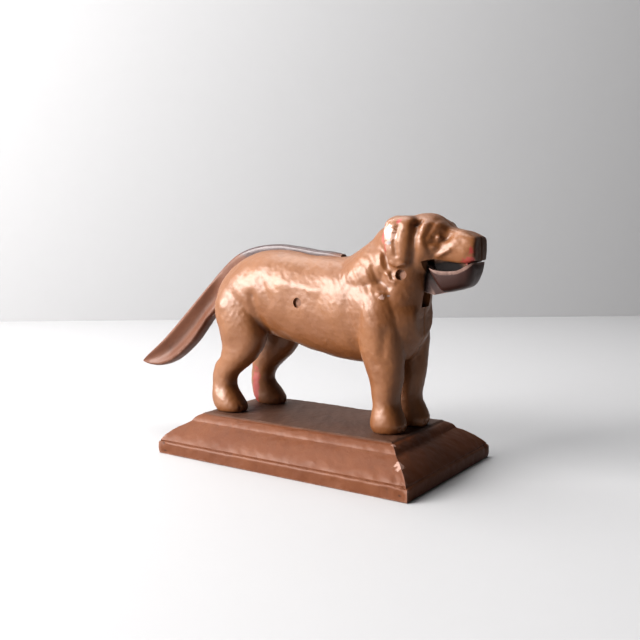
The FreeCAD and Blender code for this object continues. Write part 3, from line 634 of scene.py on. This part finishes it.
def plinth():
    """The profile carried round a rectangle, mitred at the corners, with knocks and rough iron."""
    profile = plinth_profile()
    long_side, short_side = np.linspace(-1, 1, LONG_STEPS + 1)[:-1], np.linspace(-1, 1, SHORT_STEPS + 1)[:-1]
    u = np.concatenate([long_side, np.ones(SHORT_STEPS), -long_side, -np.ones(SHORT_STEPS)])
    v = np.concatenate([-np.ones(LONG_STEPS), short_side, np.ones(LONG_STEPS), -short_side])
    inset, z = profile[:, :1], profile[:, 1:] - DECK
    a, b = PLINTH_HALF[0] - inset, PLINTH_HALF[1] - inset
    points = np.stack([a * u, b * v, z + 0 * u], axis=-1)
    faces = section_faces(len(profile), points.shape[1]).tolist()
    piece = solid("plinth_cast", (points.reshape(-1, 3), faces))
    mesh = piece.data
    points, normals = points_of(mesh), normals_of(mesh)
    outside = points[:, 2] > -DECK + 0.2
    corner = np.abs(points[:, 0]) / PLINTH_HALF[0] * np.abs(points[:, 1]) / PLINTH_HALF[1]
    knock = np.clip(corner - 0.80, 0, 0.2) * 5
    height = sum(rise * ripple(points, wave, seed) for rise, wave, seed in PLINTH_LUMPS)
    height -= 0.5 * knock * np.clip(ripple(points, 5.0, 24), 0, 2)
    points += normals * (height * outside)[:, None]
    put_points(mesh, points)
    note_ridges(piece, 6, 0.30)
    carve(piece, *[solid("screw_hole", turned(SCREW_HOLE, x, y)) for x, y in SCREWS])
    finish_shading(piece, 32)
    return piece


# ---- Shader groups -----------------------------------------------------------------------

def add(tree, kind, place, **values):
    """A node of a kind at a place, with its settings and its inputs' values given by name."""
    node = tree.nodes.new(kind)
    node.location = place
    for key, value in values.items():
        if hasattr(node, key):
            setattr(node, key, value)
        else:
            node.inputs[key.replace("_", " ")].default_value = value
    return node


def new_group(name, inputs, outputs):
    """A shader group with named sockets: (name, type, value) in, (name, type) out."""
    tree = bpy.data.node_groups.new(name, "ShaderNodeTree")
    for label, kind, value in inputs:
        socket = tree.interface.new_socket(label, in_out="INPUT", socket_type=kind)
        if value is not None:
            socket.default_value = value
    for label, kind in outputs:
        tree.interface.new_socket(label, in_out="OUTPUT", socket_type=kind)
    return tree, tree.nodes.new("NodeGroupInput"), tree.nodes.new("NodeGroupOutput")


NUMBER, VECTOR = "NodeSocketFloat", "NodeSocketVector"


def mask_between(tree, source, low, high, place):
    """A value stretched so that low gives 0 and high gives 1, rounded at both ends."""
    step = add(tree, "ShaderNodeMapRange", place, interpolation_type="SMOOTHSTEP")
    step.inputs["From Min"].default_value = low
    step.inputs["From Max"].default_value = high
    tree.links.new(source, step.inputs["Value"])
    return step.outputs["Result"]


def paint_mottle_group():
    """Blotches in brushed paint: a slow mask, a fine mask and the height of lumps and pits."""
    tree, enter, leave = new_group("paint_mottle", [("Place", VECTOR, None), ("Size", NUMBER, 1.0)],
                                   [("Blotch", NUMBER), ("Speck", NUMBER), ("Height", NUMBER)])
    link = tree.links.new
    sized = add(tree, "ShaderNodeVectorMath", (-700, 0), operation="SCALE")
    link(enter.outputs["Place"], sized.inputs[0])
    link(enter.outputs["Size"], sized.inputs["Scale"])
    slow = add(tree, "ShaderNodeTexNoise", (-500, 200), Scale=48.0, Detail=6.0, Roughness=0.60)
    fine = add(tree, "ShaderNodeTexNoise", (-500, 0), Scale=620.0, Detail=4.0, Roughness=0.6)
    lumps = add(tree, "ShaderNodeTexNoise", (-500, -200), Scale=260.0, Detail=5.0, Roughness=0.55)
    pits = add(tree, "ShaderNodeTexVoronoi", (-500, -400), Scale=420.0)
    for node in (slow, fine, lumps, pits):
        link(sized.outputs[0], node.inputs["Vector"])
    link(mask_between(tree, slow.outputs["Fac"], 0.30, 0.75, (-300, 200)), leave.inputs["Blotch"])
    link(mask_between(tree, fine.outputs["Fac"], 0.60, 0.78, (-300, 0)), leave.inputs["Speck"])
    pit = mask_between(tree, pits.outputs["Distance"], 0.02, 0.22, (-300, -400))
    both = add(tree, "ShaderNodeMath", (-100, -200), operation="MULTIPLY_ADD")
    link(pit, both.inputs[0])
    both.inputs[1].default_value = 0.18
    link(lumps.outputs["Fac"], both.inputs[2])
    link(both.outputs[0], leave.inputs["Height"])
    return tree


def wear_and_painted_light_patch_group():
    """A ragged patch round a place, for worn paint, colours of their own, painted shade and painted
    highlights: 1 inside, 0 outside.
    """
    tree, enter, leave = new_group(
        "wear_and_painted_light_patch",
        [("Place", VECTOR, None), ("Centre", VECTOR, (0, 0, 0)), ("Stretch", VECTOR, (1, 1, 1)),
         ("Radius", NUMBER, 0.005), ("Ragged", NUMBER, 0.5)],
        [("Mask", NUMBER)])
    link = tree.links.new
    away = add(tree, "ShaderNodeVectorMath", (-700, 0), operation="SUBTRACT")
    link(enter.outputs["Place"], away.inputs[0])
    link(enter.outputs["Centre"], away.inputs[1])
    shaped = add(tree, "ShaderNodeVectorMath", (-550, 0), operation="MULTIPLY")
    link(away.outputs[0], shaped.inputs[0])
    link(enter.outputs["Stretch"], shaped.inputs[1])
    far = add(tree, "ShaderNodeVectorMath", (-400, 0), operation="LENGTH")
    link(shaped.outputs[0], far.inputs[0])
    share = add(tree, "ShaderNodeMath", (-250, 0), operation="DIVIDE")
    link(far.outputs["Value"], share.inputs[0])
    link(enter.outputs["Radius"], share.inputs[1])
    rough = add(tree, "ShaderNodeTexNoise", (-550, -250), Scale=420.0, Detail=5.0, Roughness=0.65)
    link(enter.outputs["Place"], rough.inputs["Vector"])
    centred = add(tree, "ShaderNodeMath", (-400, -250), operation="SUBTRACT")
    link(rough.outputs["Fac"], centred.inputs[0])
    centred.inputs[1].default_value = 0.5
    torn = add(tree, "ShaderNodeMath", (-250, -250), operation="MULTIPLY")
    link(centred.outputs[0], torn.inputs[0])
    link(enter.outputs["Ragged"], torn.inputs[1])
    edge = add(tree, "ShaderNodeMath", (-100, 0), operation="MULTIPLY_ADD")
    link(torn.outputs[0], edge.inputs[0])
    edge.inputs[1].default_value = 4.0
    link(share.outputs[0], edge.inputs[2])
    link(mask_between(tree, edge.outputs[0], 1.15, 0.8, (50, 0)), leave.inputs["Mask"])
    return tree


def edge_wear_group():
    """Wear on ridges and dirt in hollows, from the stored ridge value broken up by noise."""
    tree, enter, leave = new_group(
        "edge_wear", [("Place", VECTOR, None), ("Ridge", NUMBER, 0.0), ("Amount", NUMBER, 0.5)],
        [("Wear", NUMBER), ("Dirt", NUMBER)])
    link = tree.links.new
    rough = add(tree, "ShaderNodeTexNoise", (-600, -200), Scale=300.0, Detail=4.0, Roughness=0.7)
    link(enter.outputs["Place"], rough.inputs["Vector"])
    broken = add(tree, "ShaderNodeMath", (-400, 0), operation="MULTIPLY_ADD")
    link(rough.outputs["Fac"], broken.inputs[0])
    broken.inputs[1].default_value = 0.6
    link(enter.outputs["Ridge"], broken.inputs[2])
    raised = add(tree, "ShaderNodeMath", (-200, 0), operation="ADD")
    link(broken.outputs[0], raised.inputs[0])
    link(enter.outputs["Amount"], raised.inputs[1])
    link(mask_between(tree, raised.outputs[0], 1.0, 1.55, (0, 0)), leave.inputs["Wear"])
    link(mask_between(tree, enter.outputs["Ridge"], -0.18, -0.9, (0, -200)), leave.inputs["Dirt"])
    return tree


MOTTLE = paint_mottle_group()
WEAR_AND_PAINTED_LIGHT_PATCH = wear_and_painted_light_patch_group()
EDGE_WEAR = edge_wear_group()


class Finish:
    """A material being put together: layers of colour, roughness and bump over one base."""

    def __init__(self, name, colour, roughness, metallic, coat=0.0, coat_roughness=0.2, gloss=0.5):
        """A new material with one base colour, and nothing over it yet."""
        self.material = bpy.data.materials.new(name)
        self.material.use_nodes = True
        self.tree = self.material.node_tree
        self.shader = self.tree.nodes["Principled BSDF"]
        self.shader.inputs["Metallic"].default_value = metallic
        self.shader.inputs["Coat Weight"].default_value = coat
        self.shader.inputs["Coat Roughness"].default_value = coat_roughness
        self.shader.inputs["Specular IOR Level"].default_value = gloss
        self.place = add(self.tree, "ShaderNodeTexCoord", (-1800, 0)).outputs["Object"]
        base = add(self.tree, "ShaderNodeRGB", (-1600, 300))
        base.outputs[0].default_value = (*colour, 1.0)
        self.colour = base.outputs[0]
        self.roughness = roughness
        self.rough_layers = []
        self.coat = coat
        self.column = -1400

    def group(self, tree, **values):
        """One shader group of this material, fed with the place and with values or sockets by name."""
        node = self.tree.nodes.new("ShaderNodeGroup")
        node.node_tree = tree
        node.location = (self.column, -400)
        self.tree.links.new(self.place, node.inputs["Place"])
        for key, value in values.items():
            if isinstance(value, bpy.types.NodeSocket):
                self.tree.links.new(value, node.inputs[key])
            else:
                node.inputs[key].default_value = value
        return node

    def attribute(self, name):
        """A value stored in the mesh."""
        node = add(self.tree, "ShaderNodeAttribute", (-1800, -300), attribute_name=name)
        return node.outputs["Fac"]

    def layer(self, mask, colour, amount=1.0, roughness=None):
        """Another colour over what is there, where the mask is."""
        self.column += 220
        strength = add(self.tree, "ShaderNodeMath", (self.column, 0), operation="MULTIPLY", use_clamp=True)
        self.tree.links.new(mask, strength.inputs[0])
        strength.inputs[1].default_value = amount
        mix = add(self.tree, "ShaderNodeMix", (self.column, 300), data_type="RGBA")
        self.tree.links.new(strength.outputs[0], mix.inputs["Factor"])
        self.tree.links.new(self.colour, mix.inputs["A"])
        mix.inputs["B"].default_value = (*colour, 1.0)
        self.colour = mix.outputs["Result"]
        if roughness is not None:
            self.rough_layers.append((strength.outputs[0], roughness))

    def uncoated(self, mask):
        """No clear coat where the mask is."""
        share = add(self.tree, "ShaderNodeMath", (self.column, -600), operation="MULTIPLY_ADD")
        self.tree.links.new(mask, share.inputs[0])
        share.inputs[1].default_value = -self.coat
        share.inputs[2].default_value = self.coat
        self.tree.links.new(share.outputs[0], self.shader.inputs["Coat Weight"])

    def done(self, height=None, bump=0.3, distance=0.0004):
        """Joins colour, roughness and bump to the shader, and gives the material."""
        links = self.tree.links
        links.new(self.colour, self.shader.inputs["Base Color"])
        last = None
        for mask, value in self.rough_layers:
            mix = add(self.tree, "ShaderNodeMix", (self.column, -200), data_type="FLOAT")
            links.new(mask, mix.inputs["Factor"])
            if last is None:
                mix.inputs["A"].default_value = self.roughness
            else:
                links.new(last, mix.inputs["A"])
            mix.inputs["B"].default_value = value
            last = mix.outputs["Result"]
        if last is None:
            self.shader.inputs["Roughness"].default_value = self.roughness
        else:
            links.new(last, self.shader.inputs["Roughness"])
        if height is not None:
            step = add(self.tree, "ShaderNodeBump", (-200, -500), Strength=bump, Distance=distance)
            links.new(height, step.inputs["Height"])
            links.new(step.outputs["Normal"], self.shader.inputs["Normal"])
        return self.material


def row(x, y, z):
    """A place in millimetres as a point of the frame."""
    return tuple(((np.array([x, y, z]) + ORIGIN) * MM).tolist())


# ---- Finishes ----------------------------------------------------------------------------

BRONZE_BROWN = (0.172, 0.064, 0.020)
UMBER = (0.075, 0.030, 0.014)
TAWNY = (0.235, 0.096, 0.032)
RED_PRIMER = (0.300, 0.040, 0.034)
ROSY_METAL = (0.520, 0.340, 0.280)
BARE_IRON = (0.180, 0.170, 0.175)
PLUM = (0.026, 0.010, 0.009)
SPINE_IRON = (0.055, 0.045, 0.050)
SOOT_AND_MOUTH_SHADE = (0.0060, 0.0030, 0.0025)
GRIME = (0.040, 0.016, 0.010)
LEVER_BROWN = (0.110, 0.038, 0.017)
LEVER_RUST = (0.150, 0.060, 0.030)
PLINTH_BROWN = (0.118, 0.037, 0.013)
PLINTH_RUST = (0.160, 0.056, 0.021)
DECK_BROWN = (0.078, 0.040, 0.026)
PIN_BROWN = (0.170, 0.090, 0.060)
SCREW_GREY = (0.260, 0.235, 0.215)


def spots(finish, colour, amount, roughness, *places):
    """Patches of one colour: each a centre in millimetres, a radius, a stretch and a raggedness.

    Gives the last patch's mask."""
    for centre, radius, stretch, ragged in places:
        mask = finish.group(WEAR_AND_PAINTED_LIGHT_PATCH, Centre=row(*centre), Radius=radius * MM,
                            Stretch=stretch, Ragged=ragged)
        finish.layer(mask.outputs["Mask"], colour, amount, roughness)
    return mask.outputs["Mask"]


def coat_paint():
    """Semi-gloss bronze brown over red primer, tawny in blotches, dark in the hollows, with painted shade in
    the mouth and on the nose and a painted highlight on the ear.
    """
    finish = Finish("bronze_coat_paint", BRONZE_BROWN, 0.47, 0.10, 0.24, 0.26)
    mottle = finish.group(MOTTLE, Size=1.0)
    wear = finish.group(EDGE_WEAR, Ridge=finish.attribute("ridge"), Amount=0.0)
    finish.layer(mottle.outputs["Blotch"], TAWNY, 0.6)
    finish.layer(wear.outputs["Dirt"], UMBER, 0.45, 0.48)
    finish.layer(wear.outputs["Wear"], ROSY_METAL, 0.22, 0.28)
    finish.layer(mottle.outputs["Speck"], UMBER, 0.35, 0.45)
    # Painted shade: a darker umber patch over the front of the nose.
    spots(finish, UMBER, 0.8, 0.42,
          ((103.0, 0.0, 99.0), 4.6, (1.0, 0.45, 0.55), 0.25))
    # Painted shade: near black inside the mouth and the throat behind it, with no clear coat there.
    finish.uncoated(spots(finish, SOOT_AND_MOUTH_SHADE, 1.0, 0.9, ((76.5, 0.0, 82.0), 9.0, (1.4, 0.95, 0.62), 0.05),
                          ((86.0, 0.0, 90.6), 7.4, (0.5, 0.80, 1.6), 0.05)))
    spots(finish, RED_PRIMER, 0.85, 0.45,
          ((52.6, -17.0, 109.0), 4.4, (1.6, 0.5, 0.8), 0.5),
          ((54.2, -18.6, 100.5), 2.8, (1.4, 0.6, 0.7), 0.6),
          ((63.0, -16.0, 114.6), 1.5, (1.0, 0.6, 1.0), 0.8), ((98.2, -8.6, 93.8), 2.6, (0.8, 0.6, 1.1), 0.6),
          ((99.8, -7.4, 99.4), 1.6, (1.0, 0.6, 0.6), 0.8), ((-56.5, 8.6, 11.0), 5.0, (1.7, 1.0, 0.36), 0.6))
    # The first patch, on the ear's back edge, is rubbed rosy metal with a painted highlight over it.
    spots(finish, ROSY_METAL, 0.80, 0.22,
          ((57.0, -19.0, 108.4), 3.9, (0.9, 0.5, 0.70), 0.8),
          ((54.0, -18.5, 74.6), 1.3, (1.0, 0.5, 0.8), 0.9))
    spots(finish, BARE_IRON, 0.85, 0.35,
          ((57.4, -18.8, 75.4), 0.8, (0.8, 0.6, 1.2), 0.6), ((58.0, -19.0, 103.4), 1.4, (0.8, 0.6, 1.3), 0.8))
    return finish.done(mottle.outputs["Height"], 0.45, 0.0005)


def lever_paint():
    """Brown paint, rubbed rosy on the ridges; bare iron along the back, plum at the jaw, painted shade inside
    its cup.
    """
    finish = Finish("plum_lever_paint", LEVER_BROWN, 0.48, 0.05, 0.06, 0.30, 0.32)
    mottle = finish.group(MOTTLE, Size=1.15)
    wear = finish.group(EDGE_WEAR, Ridge=finish.attribute("ridge"), Amount=0.12)
    finish.layer(mottle.outputs["Blotch"], LEVER_RUST, 0.6)
    finish.layer(mottle.outputs["Speck"], UMBER, 0.35, 0.5)
    spots(finish, PLUM, 0.88, 0.34, ((84.0, 0.0, 84.0), 24.0, (1.0, 0.6, 1.0), 0.15))
    # Painted shade: near black inside the lower jaw's cup.
    spots(finish, SOOT_AND_MOUTH_SHADE, 0.95, 0.6, ((84.0, 0.0, 86.5), 7.0, (0.55, 1.0, 1.0), 0.1))
    spots(finish, SPINE_IRON, 0.80, 0.30, ((-24.0, 0.0, 101.0), 42.0, (1.0, 0.6, 4.4), 0.10))
    finish.layer(wear.outputs["Dirt"], SOOT_AND_MOUTH_SHADE, 0.6, 0.5)
    finish.layer(wear.outputs["Wear"], ROSY_METAL, 0.40, 0.28)
    return finish.done(mottle.outputs["Height"], 0.45, 0.0005)


def plinth_paint():
    """Brown paint, rough and dark on the deck, rubbed rosy along the mouldings."""
    finish = Finish("brown_plinth_paint", PLINTH_BROWN, 0.50, 0.04, 0.03, 0.35, 0.26)
    mottle = finish.group(MOTTLE, Size=0.8)
    wear = finish.group(EDGE_WEAR, Ridge=finish.attribute("ridge"), Amount=0.02)
    finish.layer(mottle.outputs["Blotch"], PLINTH_RUST, 0.6)
    finish.layer(mottle.outputs["Speck"], UMBER, 0.35, 0.5)
    facing = add(finish.tree, "ShaderNodeSeparateXYZ", (-1600, -500))
    finish.tree.links.new(finish.place, facing.inputs[0])
    deck = mask_between(finish.tree, facing.outputs["Z"], (DECK - 0.9) * MM, (DECK - 0.3) * MM, (-1400, -600))
    finish.layer(deck, DECK_BROWN, 0.85, 0.55)
    finish.layer(wear.outputs["Dirt"], GRIME, 0.8, 0.55)
    finish.layer(wear.outputs["Wear"], ROSY_METAL, 0.22, 0.34)
    spots(finish, ROSY_METAL, 0.6, 0.34, ((77.0, -41.0, -9.0), 2.4, (1.0, 1.0, 0.6), 0.9),
          ((67.0, -31.0, -1.5), 1.5, (1.0, 1.0, 1.0), 1.0))
    return finish.done(mottle.outputs["Height"], 0.5, 0.0006)


def iron_finish(name, colour, roughness, size):
    """Dull hammered iron with darker specks."""
    finish = Finish(name, colour, roughness, 0.6)
    mottle = finish.group(MOTTLE, Size=size)
    finish.layer(mottle.outputs["Blotch"], UMBER, 0.6, roughness + 0.12)
    finish.layer(mottle.outputs["Speck"], ROSY_METAL, 0.25)
    return finish.done(mottle.outputs["Height"], 0.4, 0.0004)


# ---- The object --------------------------------------------------------------------------

coat_right = half_coat("coat_right", RIGHT, 0.0, 0.0)
coat_left = half_coat("coat_left", LEFT, LEFT_HIND_STEP, LEFT_FRONT_STEP)
lever_cast = lever()
note_ridges(lever_cast, 4, 0.20)
finish_shading(lever_cast, 40)
plinth_cast = plinth()

for piece, node, body, slot, paint in (
    (coat_right, "body_half_right", "dog", "coat_paint", coat_paint()),
    (coat_left, "body_half_left", "dog", "coat_paint", None),
    (lever_cast, "nut_lever", "lever", "lever_paint", lever_paint()),
    (plinth_cast, "plinth", "dog", "plinth_paint", plinth_paint()),
):
    piece.data.materials.clear()
    piece.data.materials.append(paint or coat_right.data.materials[0])
    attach(piece, body)
    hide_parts(node)

pin_iron = iron_finish("brown_pin_iron", PIN_BROWN, 0.42, 1.3)
screw_steel = iron_finish("dull_screw_steel", SCREW_GREY, 0.38, 1.6)
for name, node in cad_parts.items():
    if name.endswith("_pin") or name.startswith("foot_screw"):
        node.data.materials.clear()
        node.data.materials.append(pin_iron if name.endswith("_pin") else screw_steel)

# ---- Table, wall, lights and camera ------------------------------------------------------


def plain(name, colour, roughness):
    """A plain matt finish with a faint grain."""
    finish = Finish(name, colour, roughness, 0.0)
    grain = add(finish.tree, "ShaderNodeTexNoise", (-1400, 0), Scale=60.0, Detail=3.0)
    finish.tree.links.new(finish.place, grain.inputs["Vector"])
    finish.layer(grain.outputs["Fac"], tuple(0.97 * c for c in colour), 0.5)
    return finish.done()


def sheet(name, corners, material):
    """A flat stage surface through four corners, in metres."""
    mesh = bpy.data.meshes.new(name)
    mesh.from_pydata(corners, [], [(0, 1, 2, 3)])
    made = bpy.data.objects.new(name, mesh)
    bpy.context.scene.collection.objects.link(made)
    made.data.materials.append(material)
    return made


AZIMUTH, ELEVATION, ROLL = math.radians(34.856), math.radians(6.241), math.radians(-0.597)
EYE = Vector((0.29417, -0.38844, 0.13313))
LENS = 45.37
TABLE_HALF = 4
WALL_DISTANCE = 1.235
WALL_HALF = 3
WALL_HEIGHT = 3
# The wall isn't quite square to the view: one end is this much nearer than its middle.
WALL_SKEW = 0.05
FLAG_X = 0.75
TABLE_WHITE = (0.44, 0.44, 0.445)
WALL_GREY = (0.36, 0.36, 0.364)
CLOTH_BLACK = (0.012, 0.012, 0.012)
back = Vector((math.sin(AZIMUTH) * math.cos(ELEVATION), -math.cos(AZIMUTH) * math.cos(ELEVATION),
               math.sin(ELEVATION)))
right = Vector((0, 0, 1)).cross(back).normalized()
up = back.cross(right)
turned_right = right * math.cos(ROLL) + up * math.sin(ROLL)
turned_up = up * math.cos(ROLL) - right * math.sin(ROLL)

sheet("table", [(-TABLE_HALF, -TABLE_HALF, 0), (TABLE_HALF, -TABLE_HALF, 0), (TABLE_HALF, TABLE_HALF, 0),
                (-TABLE_HALF, TABLE_HALF, 0)], plain("white_table", TABLE_WHITE, 0.6))
far = Vector((-back.x, -back.y, 0)).normalized()
side_way = Vector((right.x, right.y, 0)).normalized()
wall_foot = Vector((EYE.x, EYE.y, 0)) + far * WALL_DISTANCE
wall_left = wall_foot - side_way * WALL_HALF + far * WALL_SKEW
wall_right = wall_foot + side_way * WALL_HALF - far * WALL_SKEW
wall_rise = Vector((0, 0, WALL_HEIGHT))
sheet("wall", [tuple(wall_left), tuple(wall_right),
               tuple(wall_right + wall_rise), tuple(wall_left + wall_rise)],
      plain("grey_wall", WALL_GREY, 0.8))

sheet("dark_flag", [(FLAG_X, -1.2, 0), (FLAG_X, 1.6, 0), (FLAG_X, 1.6, 1.3), (FLAG_X, -1.2, 1.3)],
      plain("black_cloth", CLOTH_BLACK, 0.9))

camera = bpy.data.objects.new("camera", bpy.data.cameras.new("camera"))
bpy.context.scene.collection.objects.link(camera)
camera.data.sensor_width = 36.0
camera.data.lens = LENS
camera.data.clip_start = 0.01
camera.matrix_world = Matrix((
    (turned_right.x, turned_up.x, back.x, EYE.x),
    (turned_right.y, turned_up.y, back.y, EYE.y),
    (turned_right.z, turned_up.z, back.z, EYE.z),
    (0, 0, 0, 1),
))
bpy.context.scene.camera = camera


def softbox(name, place, target, width, height, watts, colour=(1, 1, 1)):
    """A flat soft light turned to face a target."""
    data = bpy.data.lights.new(name, "AREA")
    data.shape = "RECTANGLE"
    data.size, data.size_y = width, height
    data.energy = watts
    data.color = colour
    lamp = bpy.data.objects.new(name, data)
    bpy.context.scene.collection.objects.link(lamp)
    lamp.location = place
    lamp.rotation_euler = (Vector(target) - Vector(place)).to_track_quat("-Z", "Y").to_euler()


softbox("window_light", (-0.92, -1.12, 0.70), (0.0, 0.0, 0.07), width=1.1, height=0.8, watts=61.0,
        colour=(1.0, 0.98, 0.97))
softbox("top_light", (-0.35, 0.10, 1.3), (0.0, 0.0, 0.0), width=0.9, height=0.9, watts=12.0)
softbox("wall_light", (-0.9, 0.2, 1.2), tuple(wall_foot + Vector((0.0, 0, 0.45))), width=1.2, height=0.8,
        watts=4.6)


def sky():
    """A room lit from the dog's tail side: bright towards -x, dark towards +x."""
    world = bpy.data.worlds.new("studio")
    world.use_nodes = True
    tree = world.node_tree
    place = add(tree, "ShaderNodeTexCoord", (-900, 0))
    split = add(tree, "ShaderNodeSeparateXYZ", (-700, 0))
    tree.links.new(place.outputs["Generated"], split.inputs[0])
    level = mask_between(tree, split.outputs["X"], 0.55, -0.7, (-500, 0))
    mix = add(tree, "ShaderNodeMix", (-300, 0), data_type="RGBA")
    tree.links.new(level, mix.inputs["Factor"])
    mix.inputs["A"].default_value = (0.03, 0.03, 0.035, 1.0)
    mix.inputs["B"].default_value = (0.95, 0.97, 1.0, 1.0)
    tree.links.new(mix.outputs["Result"], tree.nodes["Background"].inputs["Color"])
    tree.nodes["Background"].inputs["Strength"].default_value = 0.30
    bpy.context.scene.world = world


sky()
bpy.context.scene.view_settings.view_transform = "Standard"
bpy.context.scene.view_settings.look = "Medium High Contrast"

bpy.context.view_layer.update()
